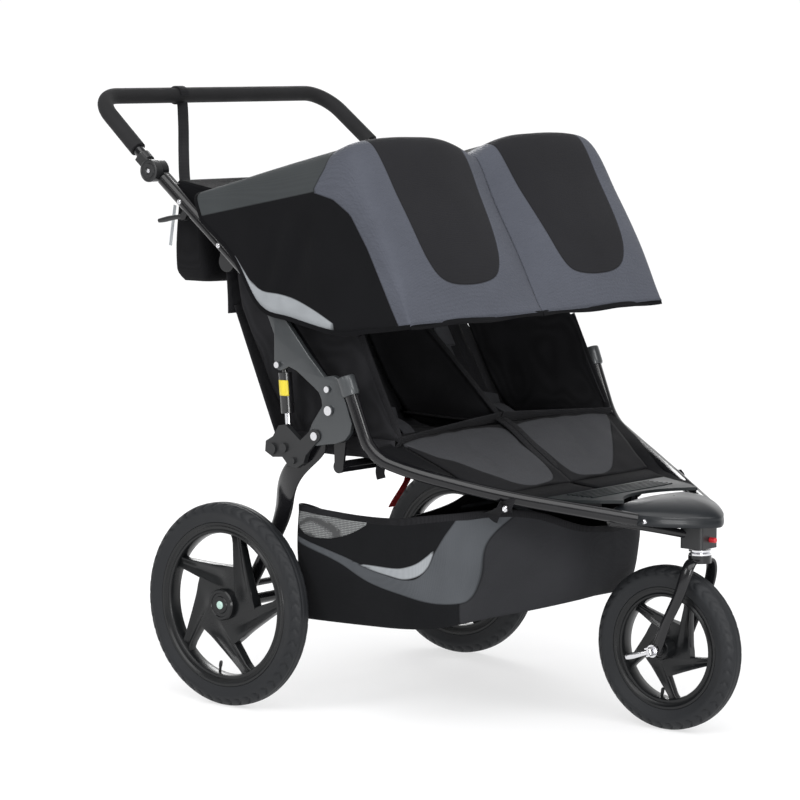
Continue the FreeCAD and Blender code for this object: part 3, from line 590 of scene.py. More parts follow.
def spokes(build, mid, count, inner, thick, y, z, spin):
    """Pinwheel spokes: tapered wedges whose feet run into the next spoke, grooved along each face."""
    stations = 17
    upper = [(-1.0, 0.0), (-1.0, 0.55), (-0.95, 0.86), (-0.86, 0.97), (-0.72, 0.97), (-0.56, 0.82), (-0.16, 0.45),
             (0.16, 0.45), (0.56, 0.82), (0.72, 0.97), (0.86, 0.97), (0.95, 0.86), (1.0, 0.55)]
    section = upper + [(-a, -b) for a, b in upper]
    for index in range(count):
        angle = 2 * math.pi * index / count + spin
        outward_y, outward_z = math.cos(angle), math.sin(angle)
        along_y, along_z = -math.sin(angle), math.cos(angle)
        rows = []
        for station in range(stations):
            t = station / (stations - 1)
            lean = inner * (0.375 - 0.165 * t)
            half = inner * (0.20 - 0.133 * t) + inner * 0.05 * max(0.0, (t - 0.88) / 0.12) ** 2
            deep = thick * (1.0 - 0.2 * t)
            groove = min(1.0, max(0.0, (t - 0.14) / 0.2))
            row = []
            for a, b in section:
                edge = lean + a * half
                foot = 0.36 * edge - 0.2165 * inner
                radial = foot * (1 - t) + (inner + 2) * t
                height = b if b == 0 else math.copysign(0.93 * (1 - groove) + abs(b) * groove, b)
                row.append((mid + height * deep, y + radial * outward_y + edge * along_y,
                            z + radial * outward_z + edge * along_z))
            rows.append(row)
        base = build.grid(shifted(rows), closed_v=True)
        build.cap(base, len(section), 0)
        build.cap(base, len(section), stations - 1, flip=True)


def rim_piece(name, mid, outer, inner, half, hub, hub_half, y, z, spin, scale, bore, button):
    """Rim ring, spokes and stepped hub, with one spoke turned up by the angle spin."""
    build = Builder()
    ring = [(half * 0.55, outer - 2), (half - 2, outer), (half, outer - 1.5), (half, outer - 6), (half - 3, outer - 9),
            (half - 4, inner + 8), (half - 2, inner + 5), (half - 2, inner + 1.5), (half - 4, inner),
            (0, inner - 1.5)]
    ring += [(-x, r) for x, r in reversed(ring[:-1])]
    revolve_x(build, [(mid + x, r) for x, r in ring], y, z, 160)
    spokes(build, mid, 5, inner, 12 * scale, y, z, spin)
    web = 8.5 * scale
    revolve_x(build, [(mid - web, hub * 0.6), (mid - web, inner * 0.2), (mid + web, inner * 0.2), (mid + web, hub * 0.6)],
              y, z, 72)
    low, high = hub_half
    outer_face = high if abs(high) > abs(low) else low
    step = 1 if outer_face >= mid else -1
    face = [(outer_face, bore), (outer_face, hub * 0.52), (outer_face - step * 2, hub * 0.56),
            (outer_face - step * 2, hub * 0.74), (outer_face, hub * 0.78), (outer_face, hub * 0.93),
            (outer_face - step * 3, hub)]
    other = low if outer_face == high else high
    back = [(other + step * 3, hub), (other, hub * 0.93), (other, bore)]
    if button:
        face[0] = (outer_face, button)
        face.insert(0, (outer_face - step * 9, button))
        face.insert(0, (outer_face - step * 9, bore))
    revolve_x(build, face + back, y, z, 72)
    valve_y = y + (inner - 24 * scale) * math.cos(-math.pi / 2 + 0.16)
    valve_z = z + (inner - 24 * scale) * math.sin(-math.pi / 2 + 0.16)
    stem = []
    for lift, radius in ((0, 2.0), (3, 3.6), (12, 3.6), (13, 2.7), (27 * scale, 2.9)):
        stem.append([(mid + radius * math.cos(a), valve_y - lift * math.sin(-0.16) + radius * math.sin(a),
                      valve_z - lift) for a in np.linspace(0, 2 * math.pi, 10, endpoint=False)])
    base = build.grid(shifted(stem), closed_v=True)
    build.cap(base, 10, 0)
    build.cap(base, 10, len(stem) - 1, flip=True)
    mesh = build.mesh(name)
    outward(mesh)
    return make_object(name, mesh, 32)


def wheels():
    low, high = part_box("rear_tyre_left")
    radius = (high.z - low.z) / 2 / MM
    for name, side in SIDES:
        build = Builder()
        build.grid(shifted(tyre_points(side * 365, radius, 46, 162.6, 0, 201, 288, 48)), closed_u=True, closed_v=True)
        mesh = build.mesh("tread_" + name)
        outward(mesh)
        finish_piece(make_object("rear_tyre_tread_" + name, mesh, 60), "tyre", "rear_wheel_" + name,
                     ["rear_tyre_" + name])
        hub = (side * 338, side * 388)
        wheel = rim_piece("rear_wheel_rim_" + name, side * 365, 163, 141, 17, 31, (min(hub), max(hub)), 0, 201,
                          math.radians(90), 1.0, 6.05, 8.05)
        finish_piece(wheel, "rim", "rear_wheel_" + name, ["rear_rim_" + name])
    build = Builder()
    build.grid(shifted(tyre_points(0, 157, 50, 117.6, -798, 157, 240, 40)), closed_u=True, closed_v=True)
    mesh = build.mesh("tread_front")
    outward(mesh)
    finish_piece(make_object("front_tyre_tread", mesh, 60), "tyre", "front_wheel", ["front_tyre"])
    wheel = rim_piece("front_wheel_rim", 0, 118, 98, 18, 21, (-34, 34), -798, 157, math.radians(105), 0.74, 5.05, 0)
    finish_piece(wheel, "rim", "front_wheel", ["front_rim"])


# ---------------------------------------------------------------- canopies
CANOPY_LOW = [(30, 953), (-51, 887), (-119, 794), (-200, 773), (-317, 753), (-390, 761), (-445, 768), (-493, 775)]
CANOPY_HIGH = [(53, 1009), (-60, 1044), (-165, 1074), (-268, 1099), (-334, 1108), (-390, 1012), (-450, 897), (-494, 777)]
CANOPY_ACROSS = [(400, 0), (400.5, 0.28), (400, 0.56), (397.5, 0.76), (389, 0.885), (373, 0.95), (348, 0.983),
                 (305, 1.0), (250, 1.008), (195, 1.010), (140, 1.004), (96, 0.985), (62, 0.958), (30, 0.922),
                 (0.8, 0.888)]
CANOPY_FRONT = [(-284, 1300), (-284, 1098), (-277, 1060), (-252, 1015), (-304, 1003), (-347, 976), (-388, 915),
                (-430, 838), (-468, 768), (-470, 700), (-700, 700), (-700, 1300)]
CANOPY_TONGUE = [(57, 1300), (57, 1105), (60, 1047), (71, 985), (87, 915), (100, 878), (120, 855), (155, 845), (205, 842),
                 (255, 846), (288, 859), (307, 884), (317, 920), (321, 985), (323, 1050), (325, 1105), (325, 1300)]
CANOPY_SILVER = [(-56, 890), (-82, 859), (-104, 838), (-128, 824), (-171, 820), (-221, 808), (-278, 785), (-324, 757),
                 (-271, 757), (-196, 770), (-152, 777), (-120, 788), (-90, 835)]


def canopy_points():
    rows, columns = 92, 84
    low = spline(CANOPY_LOW, rows)
    high = spline(CANOPY_HIGH, rows)
    across = spline(CANOPY_ACROSS, columns)
    points = np.zeros((rows, columns, 3))
    for row in range(rows):
        u = row / (rows - 1)
        slope = max(0.0, (u - 0.57) / 0.43)
        for column in range(columns):
            x, f = across[column]
            y = low[row][0] + (high[row][0] - low[row][0]) * f
            z = low[row][1] + (high[row][1] - low[row][1]) * f
            valley = math.exp(-x / 42)
            y += 16 * valley * math.sin(math.pi * min(1.0, slope)) ** 0.7 if slope > 0 else 0
            bulge = math.sin(math.pi * slope ** 1.3) * math.sin(math.pi * min(1.0, max(0.0, (x - 9) / 391)))
            y -= 14 * bulge
            sag = math.sin(math.pi * min(1.0, u / 0.57)) if u < 0.57 else 0
            z -= 7 * sag * math.sin(math.pi * min(1.0, max(0.0, (x - 9) / 391))) * (1 if f > 0.9 else 0)
            if f < 0.72:
                fold = math.sin(math.pi * f / 0.72) * math.sin(math.pi * u)
                wave = noise.noise(Vector((y * 0.016, z * 0.006, 3.1)))
                crease = math.exp(-((y + 215 + (z - 880) * 0.4) / 24) ** 2) + 0.7 * math.exp(-((y + 150 + (z - 880) * 0.3) / 15) ** 2)
                x += fold * (4.2 * wave - 5.0 * crease)
            else:
                z += 1.3 * noise.noise(Vector((x * 0.012, y * 0.014, 1.7)))
            points[row, column] = (x, y, z)
    return points


def canopy(name, side):
    points = canopy_points()
    points[..., 0] *= side
    build = Builder()
    build.grid(shifted(points), flip=side < 0)
    mesh = build.mesh("canopy_" + name)
    mm = local_mm(mesh)
    across = np.abs(mm[:, 0])
    side_view = mm[:, 1:3]
    front = signed_distance(side_view, CANOPY_FRONT)
    tongue = np.minimum(signed_distance(np.stack([across, mm[:, 2]], 1), smooth(CANOPY_TONGUE)), -262 - mm[:, 1])
    start, end = np.array([22.0, 963.0]), np.array([-252.0, 1015.0])
    slope = (end - start) / np.linalg.norm(end - start)
    above = (side_view[:, 1] - start[1]) * -slope[0] + (side_view[:, 0] - start[0]) * slope[1]
    strip = np.minimum(above, across - 322)
    silver = np.minimum(signed_distance(side_view, smooth(CANOPY_SILVER)), across - 380)
    for field, values in (("front", front), ("tongue", tongue), ("strip", strip), ("silver", silver)):
        write_field(mesh, field, values)
    sheet = make_object("canopy_sheet_" + name, mesh, 180)
    solid = sheet.modifiers.new("cloth", "SOLIDIFY")
    solid.thickness = 1.6 * MM
    solid.offset = 0
    sheet = applied(sheet)
    nodes = ["canopy_rear_" + name, "canopy_front_" + name]
    finish_piece(sheet, "canopy", "canopy_" + name, nodes)
    flatten(sheet)
    lower_hem = [(side * 400.4, y, z) for y, z in spline(CANOPY_LOW, 46)]
    hem = sweep("canopy_side_hem_" + name, lower_hem, flat_section(9, 3.2), (0, -0.25, 0.97), straight=True)
    flatten(finish_piece(hem, "cloth", "canopy_" + name))
    front_edge = [(side * x, -494.5 + 2.5 * math.sin(x * 0.021), 775 + 1.6 * math.sin(x * 0.03))
                  for x in np.linspace(400, 1, 36)]
    hem = sweep("canopy_front_hem_" + name, front_edge, flat_section(11, 3.4), (0, 0.4, 0.9), straight=True)
    flatten(finish_piece(hem, "cloth", "canopy_" + name))
    rear_edge = points[0]
    hem = sweep("canopy_rear_hem_" + name, rear_edge[::3], flat_section(9, 3.0), (0, -1, 0.3), straight=True)
    flatten(finish_piece(hem, "cloth", "canopy_" + name))
    bow = points[48].copy()
    bow[:, 0] *= 0.975
    bow[:, 2] -= 6
    rod = sweep("canopy_bow_" + name, bow[10:-4:3], round_section(3.4), (0, 1, 0), straight=True)
    flatten(finish_piece(rod, "plastic", "canopy_" + name))


def flatten(thing):
    """Gives the piece its own copy of its mesh."""
    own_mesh(thing)
    return thing


# ---------------------------------------------------------------- basket
BASKET_PLAN = [(0, -146), (160, -146), (284, -146), (319, -149), (327, -180), (326, -300), (324, -395), (309, -458),
               (284, -512), (235, -550), (165, -602), (88, -654), (0, -664)]
BASKET_TOP = [332, 350, 392, 399, 397, 391, 393, 402, 409, 413, 408, 378, 368]
BASKET_LOW = [182, 182, 182, 183, 184, 186, 189, 194, 205, 215, 226, 240, 245]
BASKET_SILVER = [(-293, 310), (-333, 300), (-378, 292), (-413, 287), (-443, 295), (-461, 312), (-472, 336),
                 (-473, 346), (-461, 335), (-440, 319), (-416, 310), (-395, 307), (-351, 308), (-302, 308)]
BASKET_GREY = [(-140, 350), (-197, 336), (-288, 313), (-351, 298), (-411, 287), (-446, 295), (-472, 337), (-492, 373),
               (-511, 410), (-518, 450), (-603, 450), (-577, 408), (-558, 381), (-547, 355), (-542, 315), (-535, 284),
               (-525, 257), (-509, 245), (-464, 244), (-416, 255), (-333, 273), (-243, 309), (-155, 336)]
BASKET_CHARCOAL = [(-521, 480), (-509, 246), (-495, 150), (-800, 150), (-800, 480)]


def basket_wall(x, y, top, low, v, lift=0.0):
    """Point on the basket wall, v from the hem to the floor; lift moves it outwards."""
    away = Vector((x, y + 400, 0)).normalized()
    inset = 20 * v ** 3
    fold = 6.5 * noise.noise(Vector((x * 0.011, y * 0.017, v * 1.5))) * math.sin(math.pi * v)
    crease = 7 * math.exp(-((y + 528 - 30 * v) / 12) ** 2) * math.sin(math.pi * min(1, v * 1.2))
    ripple = 4 * math.exp(-((y + 596 - 90 * v) / 11) ** 2) * math.sin(math.pi * min(1, v * 1.1))
    bow = 5 * math.sin(math.pi * v) - inset + fold - crease - ripple + lift
    return (x + away.x * bow, y + away.y * bow * (0.3 if y > -160 else 1.0), top + (low - top) * v)


def basket():
    columns = 130
    plan = spline([(x, y, top, low) for (x, y), top, low in zip(BASKET_PLAN, BASKET_TOP, BASKET_LOW)], columns)
    loop = list(plan) + [np.array([-x, y, top, low]) for x, y, top, low in plan[-2:0:-1]]
    wall_rows, floor_rows = 44, 9
    points = np.zeros((wall_rows + floor_rows, len(loop), 3))
    for column, (x, y, top, low) in enumerate(loop):
        for row in range(wall_rows):
            points[row, column] = basket_wall(x, y, top, low, row / (wall_rows - 1))
        edge = points[wall_rows - 1, column]
        for row in range(floor_rows):
            t = (row + 1) / floor_rows
            points[wall_rows + row, column] = (edge[0] * (1 - t), edge[1] + (-400 - edge[1]) * t * 0.92,
                                               edge[2] + (184 - edge[2]) * t)
    build = Builder()
    build.grid(shifted(points), closed_v=True)
    mesh = build.mesh("basket")
    mm = local_mm(mesh)
    side_view = mm[:, 1:3]
    flank = np.abs(mm[:, 0]) - 180
    for field, polygon in (("silver", BASKET_SILVER), ("grey", BASKET_GREY), ("charcoal", BASKET_CHARCOAL)):
        values = signed_distance(side_view, polygon if field == "charcoal" else smooth(polygon))
        write_field(mesh, field, values if field == "charcoal" else np.minimum(values, flank))
    shell = make_object("basket_cloth", mesh, 180)
    shell = thicken(shell, 2.0, 1.0)
    finish_piece(shell, "basket", "frame", ["basket"])
    gather(shell)
    rim = [(x, y, top + 1) for x, y, top, low in loop]
    hem = sweep("basket_rim_binding", rim, flat_section(16, 5), (0, 0, 1), closed=True, straight=True)
    gather(finish_piece(hem, "web", "frame"))
    for name, side in SIDES:
        net = Builder()
        rows = []
        for y in np.linspace(-152, -326, 30):
            column = int(np.argmin([abs(p[1] - y) + (1e3 if p[0] * side < 300 else 0) for p in loop]))
            x, _, top, low = loop[column]
            reach = 128 if y < -200 else 66
            drop = 3 + 42 * max(0.0, 1 - ((y + 200) / reach) ** 2)
            rows.append([basket_wall(side * abs(x), y, top, low, (3 + drop * t) / (top - low), 2.6)
                         for t in np.linspace(0, 1, 9)])
        net.grid(shifted(rows), flip=side > 0)
        mesh = net.mesh("net")
        piece = thicken(make_object("basket_net_" + name, mesh, 180), 1.0, 0)
        gather(finish_piece(piece, "net", "frame"))
        tab = sweep("basket_strap_" + name, [(side * 234, -550, 404), (side * 243, -563, 417), (side * 266, -601, 431),
                                             (side * 278, -622, 440), (side * 268, -622, 453)], flat_section(30, 2.4), (0, -0.9, 0.2))
        finish_piece(tab, "web", "frame")


def gather(thing):
    """Gives the basket piece its own copy of its mesh."""
    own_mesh(thing)
    return thing


# ---------------------------------------------------------------- seats
def pad_mesh(name, width, length, thick):
    """Rounded block, finely divided, lying in XY about the origin, in metres."""
    work = bmesh.new()
    bmesh.ops.create_cube(work, size=1.0)
    bmesh.ops.subdivide_edges(work, edges=work.edges, cuts=10, use_grid_fill=True)
    mesh = bpy.data.meshes.new(name)
    work.to_mesh(mesh)
    work.free()
    power = 7
    for vertex in mesh.vertices:
        x, y, z = (value * 2 for value in vertex.co)
        edge = (1 - abs(x) ** power * 0.05) * (1 - abs(y) ** power * 0.05)
        crown = math.sqrt(max(0.0, 1 - abs(x) ** power)) * math.sqrt(max(0.0, 1 - abs(y) ** power))
        vertex.co = (x * width / 2 * MM * edge, y * length / 2 * MM * edge, z * thick / 2 * MM * (0.45 + 0.55 * crown))
    return make_object(name, mesh)


def swell(thing, voxel, cap):
    """Inflates the pad as cloth under pressure, never moving a point further than cap mm."""
    remesh = thing.modifiers.new("remesh", "REMESH")
    remesh.mode = "VOXEL"
    remesh.voxel_size = voxel * MM
    applied(thing)
    rest = np.array([vertex.co for vertex in thing.data.vertices])
    cloth = thing.modifiers.new("cloth", "CLOTH")
    cloth.settings.use_pressure = True
    cloth.settings.uniform_pressure_force = 4.0
    cloth.settings.effector_weights.gravity = 0.0
    cloth.settings.quality = 4
    scene = bpy.context.scene
    for step in range(1, 21):
        scene.frame_set(step)
    graph = bpy.context.evaluated_depsgraph_get()
    after = np.array([vertex.co for vertex in thing.evaluated_get(graph).data.vertices])
    scene.frame_set(1)
    thing.modifiers.clear()
    move = after - rest
    length = np.linalg.norm(move, axis=1, keepdims=True)
    move *= np.minimum(1.0, cap * MM / np.maximum(length, 1e-9))
    thing.data.vertices.foreach_set("co", (rest + move).ravel())
    thing.data.update()
    subdivide = thing.modifiers.new("smooth", "SUBSURF")
    subdivide.levels = 1
    return applied(thing)


def channels(thing, lines, depth, width):
    """Presses sewn channels into both faces: lines are ((x, y), (x, y)) in mm on the pad."""
    for vertex in thing.data.vertices:
        x, y = vertex.co.x / MM, vertex.co.y / MM
        press = 0.0
        for (x1, y1), (x2, y2) in lines:
            run = ((x2 - x1) ** 2 + (y2 - y1) ** 2)
            t = max(0.0, min(1.0, ((x - x1) * (x2 - x1) + (y - y1) * (y2 - y1)) / run))
            gap = math.hypot(x - x1 - t * (x2 - x1), y - y1 - t * (y2 - y1))
            press = max(press, math.exp(-(gap / width) ** 2))
        limit = abs(vertex.co.z) * 0.8
        vertex.co.z -= math.copysign(min(depth * MM * press, limit), vertex.co.z)
    thing.data.update()


BACK_LEAN = math.radians(29.3)


def back_matrix(x):
    """Pad axes on the seat back: X across, Y up the back, Z towards the child."""
    hinge = at(x, -152, 520)
    up = Vector((0, math.sin(BACK_LEAN), math.cos(BACK_LEAN)))
    face = Vector((0, -math.cos(BACK_LEAN), math.sin(BACK_LEAN)))
    matrix = Matrix(((1, up.x, face.x, hinge.x), (0, up.y, face.y, hinge.y), (0, up.z, face.z, hinge.z),
                     (0, 0, 0, 1)))
    return matrix


def seats():
    base = pad_mesh("seat_pad_left", 300, 224, 17)
    swell(base, 5, 6)
    channels(base, [((-95, -95), (-95, 95)), ((95, -95), (95, 95)), ((-95, 30), (95, 30))], 4, 5)
    base.data.transform(Matrix.Translation(at(167, -276, 528)))
    twin = mirrored_copy(base, "seat_pad_right")
    finish_piece(base, "seat", "frame", ["seat_base_left"])
    finish_piece(twin, "seat", "frame", ["seat_base_right"])
    back = pad_mesh("seat_back_pad_left", 300, 318, 17)
    swell(back, 5, 6)
    channels(back, [((-92, -150), (-92, 150)), ((92, -150), (92, 150)), ((-92, 20), (92, 20)),
                    ((-92, -80), (92, -80))], 4, 5)
    back.data.transform(back_matrix(167) @ Matrix.Translation(Vector((0, 0.171, 0))))
    twin = mirrored_copy(back, "seat_back_pad_right")
    for name, thing in (("left", back), ("right", twin)):
        finish_piece(thing, "seat", "seat_back_" + name, ["seat_back_" + name])
        flatten(thing)
    for name, side in SIDES:
        harness(name, side)
        leg_panel(name, side)
        wing(name, side)
        curtain(name, side)
        sling(name, side)
        backing(name, side)
    divider()


def on_back(side, across, up, lift):
    """mm point about the rear axle for a place on the seat back."""
    s, c = math.sin(BACK_LEAN), math.cos(BACK_LEAN)
    return (side * 167 + across, -152 + up * s - lift * c, 520 + up * c + lift * s)


def harness(name, side):
    body = "seat_back_" + name
    for number, across in enumerate((-48, 48)):
        keys = [on_back(side, across, 300, 13), on_back(side, across * 0.98, 235, 17), on_back(side, across * 0.9, 165, 19),
                on_back(side, across * 0.7, 105, 26), on_back(side, across * 0.34, 62, 34)]
        strap = sweep(f"harness_strap_{name}_{number + 1}", keys, flat_section(25, 1.8))
        flatten(finish_piece(strap, "harness", body))
        keys = [on_back(side, across, 262, 18), on_back(side, across * 0.96, 215, 21), on_back(side, across * 0.9, 165, 23)]
        cover = sweep(f"harness_cover_{name}_{number + 1}", keys, flat_section(44, 8, 6), count=18)
        flatten(finish_piece(cover, "harness", body))
        keys = [on_back(side, across * 3.0, 36, 14), on_back(side, across * 2.0, 40, 24), on_back(side, across * 0.45, 48, 36)]
        waist = sweep(f"harness_waist_{name}_{number + 1}", keys, flat_section(25, 1.8), (0, 0.4, 0.9))
        flatten(finish_piece(waist, "harness", body))
    buckle = buckle_piece("harness_buckle_" + name, on_back(side, 0, 52, 40))
    flatten(finish_piece(buckle, "plastic", body))
    crotch = sweep("crotch_strap_" + name, [(side * 167, -300, 541), (side * 167, -280, 556), (side * 167, -250, 566),
                                            (side * 167, -225, 560)], flat_section(34, 6, 6), count=20)
    finish_piece(crotch, "harness", "frame")


def buckle_piece(name, centre):
    """Shield-shaped harness buckle with a raised round button."""
    build = Builder()
    rings = []
    for lift, grow in ((-6, 0.9), (-4, 1.0), (3, 1.0), (6, 0.88), (6.5, 0.5), (5.5, 0.42), (8, 0.36), (8.6, 0.2)):
        ring = []
        for angle in np.linspace(0, 2 * math.pi, 32, endpoint=False):
            wide = 21 * (1 + 0.12 * math.cos(2 * angle)) if grow > 0.45 else 17
            ring.append((centre[0] + grow * wide * math.cos(angle),
                         centre[1] - lift * 0.87 + grow * wide * 0.49 * math.sin(angle),
                         centre[2] + lift * 0.49 + grow * wide * 0.87 * math.sin(angle)))
        rings.append(ring)
    base = build.grid(shifted(rings), closed_v=True)
    build.cap(base, 32, 0)
    build.cap(base, 32, len(rings) - 1, flip=True)
    mesh = build.mesh(name)
    outward(mesh)
    return make_object(name, mesh, 50)


CALF_INSET = [(32, -404), (300, -407), (313, -424), (268, -464), (182, -530), (128, -556), (62, -557), (26, -532), (22, -460)]


def leg_panel(name, side):
    rows, columns = 34, 34
    points = np.zeros((rows, columns, 3))
    for row in range(rows):
        t = row / (rows - 1)
        y = -397 - 165 * t
        edge = 329 - 74 * t
        for column in range(columns):
            s = column / (columns - 1)
            x = 1 + (edge - 1) * s
            sag = math.sin(math.pi * s) * math.sin(math.pi * min(1.0, t + 0.08))
            z = 548 - 98 * t + 5 * sag ** 0.6 - 6 * math.exp(-((s - 0.5) / 0.08) ** 2) * sag + 3.2 * noise.noise(Vector((x * 0.02, y * 0.02, 5.0)))
            points[row, column] = (side * x, y, z)
    build = Builder()
    build.grid(shifted(points), flip=side < 0)
    mesh = build.mesh("leg")
    mm = local_mm(mesh)
    plan = np.stack([np.abs(mm[:, 0]), mm[:, 1]], 1)
    write_field(mesh, "inset", signed_distance(plan, smooth(CALF_INSET)))
    panel = thicken(make_object("leg_panel_cloth_" + name, mesh, 180), 6, -1)
    finish_piece(panel, "calf", "frame", ["leg_panel_" + name])
    edge = [(side * 337, -413, 549), (side * 250, -402, 553), (side * 120, -392, 560), (side * 2, -391, 567)]
    strap = sweep("front_strap_" + name, edge, flat_section(24, 3.2), (0, -0.55, 0.83))
    finish_piece(strap, "web", "frame")
    keys = [(side * 9, -160, 560), (side * 9, -300, 556), (side * 9, -391, 563), (side * 10, -480, 508), (side * 12, -563, 452)]
    strap = sweep("centre_strap_" + name, keys, flat_section(17, 3.0), (1, 0, 0), count=60)
    finish_piece(strap, "web", "frame")
    inner = np.array([(side * x, y, z) for x, y, z in ((326, -398, 546), (297, -462, 509), (251, -562, 450),
                                                       (205, -642, 441), (142, -742, 440))], float)
    outer = np.array([(side * x, y, z) for x, y, z in ((381, -388, 538), (353, -459, 508), (272, -599, 469),
                                                       (238, -648, 459), (158, -752, 438))], float)
    rows = [spline(inner * (1 - t) + outer * t, 40) for t in np.linspace(0, 1, 7)]
    build = Builder()
    build.grid(shifted(rows), flip=side < 0)
    piece = thicken(make_object("side_gusset_" + name, build.mesh("gusset"), 180), 2.2, 0)
    finish_piece(piece, "cloth", "frame")
    foot = [[(side * x, y, z) for x in np.linspace(8, wide, 14)]
            for y, z, wide in ((-558, 452, 262), (-600, 447, 236), (-642, 444, 212))]
    build = Builder()
    build.grid(shifted(foot), flip=side > 0)
    piece = thicken(make_object("footwell_cloth_" + name, build.mesh("footwell"), 180), 2.5, 0)
    finish_piece(piece, "cloth", "frame")


def wing(name, side):
    """Side wall of the seat, hung from the upright."""
    lower = [(-412, 549), (-330, 541), (-240, 538), (-170, 530), (-120, 585), (-60, 690), (-12, 785)]
    upper = [(-404, 570), (-360, 655), (-318, 742), (-240, 768), (-150, 800), (-80, 850), (2, 900)]
    low, high = spline(lower, 44), spline(upper, 44)
    rows = []
    for a, b in zip(low, high):
        row = []
        for t in np.linspace(0, 1, 22):
            y, z = a + (b - a) * t
            bow = 4 * math.sin(math.pi * t) + 3 * noise.noise(Vector((y * 0.014, z * 0.012, 9.0)))
            row.append((side * (331 + bow), y, z))
        rows.append(row)
    build = Builder()
    build.grid(shifted(rows), flip=side < 0)
    sheet = thicken(make_object("seat_wing_" + name, build.mesh("wing"), 180), 2.0, 0)
    flatten(finish_piece(sheet, "seat", "upper_frame"))
    edge = [(side * 333, y, z) for y, z in ((-412, 551), (-398, 585), (-360, 657), (-318, 744))]
    flatten(finish_piece(sweep("seat_wing_edge_" + name, edge, flat_section(14, 4), (0, 0.9, 0.4)), "web",
                         "upper_frame"))


def sling(name, side):
    """Fabric tray under the seat, turned up at the outer edge."""
    rows = []
    for y in np.linspace(-146, -404, 30):
        lift = 14 * max(0.0, (-y - 372) / 32)
        rows.append([(side * x, y, z + (lift if z < 530 else 0) - 1.6 * noise.noise(Vector((x * 0.02, y * 0.02, 4.0))))
                     for x, z in ((0.6, 512), (80, 510.5), (170, 510), (260, 510.5), (318, 511), (334, 515), (338.5, 528),
                                  (339, 552))])
    build = Builder()
    build.grid(shifted(rows), flip=side > 0)
    sheet = thicken(make_object("seat_sling_" + name, build.mesh("sling"), 60), 2.0, 0)
    finish_piece(sheet, "seat", "frame")


def backing(name, side):
    """Fabric behind the seat back, from the middle seam to the side wall."""
    rows = []
    for up in np.linspace(-14, 312, 30):
        reach = 209 - 46 * max(0.0, up) / 312
        rows.append([on_back(side, side * across, up, -12 - 4 * math.cos(across / 172 * 1.5) + 9 * max(0, across - 160) / 49)
                     for across in np.linspace(-166.4, reach, 34)])
    build = Builder()
    build.grid(shifted(rows), flip=side > 0)
    sheet = thicken(make_object("seat_backing_" + name, build.mesh("backing"), 180), 2.0, 0)
    flatten(finish_piece(sheet, "seat", "seat_back_" + name))


def divider():
    """Middle wall between the two seats with a bound front edge."""
    low = spline([(-391, 548), (-300, 545), (-190, 540), (-120, 600), (-50, 715), (-4, 800)], 36)
    high = spline([(-391, 566), (-300, 650), (-206, 735), (-160, 778), (-110, 820), (-40, 868)], 36)
    rows = [[(1.4 * math.sin(3 * t), *(a + (b - a) * t)) for t in np.linspace(0, 1, 16)] for a, b in zip(low, high)]
    build = Builder()
    build.grid(shifted(rows))
    sheet = thicken(make_object("seat_divider", build.mesh("divider"), 180), 3.0, 0)
    flatten(finish_piece(sheet, "seat", "upper_frame"))
    edge = sweep("seat_divider_edge", [(0, y, z) for y, z in high[::3]], flat_section(16, 5), (1, 0, 0), straight=True)
    flatten(finish_piece(edge, "web", "upper_frame"))


def curtain(name, side):
    """Cloth from the rear of the canopy down to the top of the seat back."""
    rows = []
    for t in np.linspace(0, 1, 26):
        y, z = 46 - 30 * t - 9 * math.sin(math.pi * t), 1000 - 230 * t
        wave = [3 * noise.noise(Vector((x * 0.015, z * 0.01, 2.0))) for x in np.linspace(2, 341, 30)]
        rows.append([(side * x, y + w, z) for x, w in zip(np.linspace(2, 341, 30), wave)])
    build = Builder()
    build.grid(shifted(rows), flip=side > 0)
    sheet = thicken(make_object("back_curtain_" + name, build.mesh("curtain"), 180), 2.0, 0)
    sheet.data.materials.append(MATERIALS["seat"])
    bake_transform(sheet)
    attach(sheet, "upper_frame")


# ---------------------------------------------------------------- bag and handle strap
def storage_bag():
    """Soft open-topped bag hung between the uprights, sagging in the middle."""
    columns, rows = 60, 22
    outer = []
    for row in range(rows):
        v = row / (rows - 1)
        ring = []
        for column in range(columns):
            angle = 2 * math.pi * column / columns
            square = 8.0
            cx = math.copysign(abs(math.cos(angle)) ** (2 / square), math.cos(angle))
            sy = math.copysign(abs(math.sin(angle)) ** (2 / square), math.sin(angle))
            x = cx * (324 + 3 * math.sin(math.pi * v)) * (1 - 0.02 * v ** 6)
            turn = max(0.0, (v - 0.84) / 0.16) ** 2
            depth = (38 + 13 * min(1.0, v * 1.15) ** 1.4) * (1 - 0.22 * turn)
            x *= 1 - 0.03 * turn
            sag = (1 - (x / 330) ** 2)
            y = 137 + sy * depth + 4 * noise.noise(Vector((x * 0.01, v * 2, angle)))
            z = 985 - (158 + 4 * sag) * v - 5 * sag * (1 - v)
            ring.append((x, y, max(z, 819)))
        outer.append(ring)
    bottom = [[(p[0] * f, 137 + (p[1] - 137) * f, p[2]) for p in outer[-1]] for f in (0.8, 0.5, 0.2, 0.02)]
    build = Builder()
    build.grid(shifted(outer + bottom), closed_v=True)
    mesh = build.mesh("bag")
    shell = thicken(make_object("storage_bag_cloth", mesh, 180), 2.4, 1.0)
    finish_piece(shell, "bag", "upper_frame", ["storage_bag"])
    for name, side in SIDES:
        keys = [(side * (326 + 1.5 * t), 172 + 12 * t, 976 - 80 * t) for t in np.linspace(0, 1, 6)]
        tape = sweep("bag_tape_" + name, keys, flat_section(9, 1.6), (0.2, 1, 0), count=16)
        finish_piece(tape, "reflective", "upper_frame")
    rim = [(p[0], p[1], p[2] + 1) for p in outer[0]]
    hem = sweep("storage_bag_hem", rim, flat_section(14, 4), (0, 0, 1), closed=True, straight=True)
    finish_piece(hem, "web", "upper_frame")


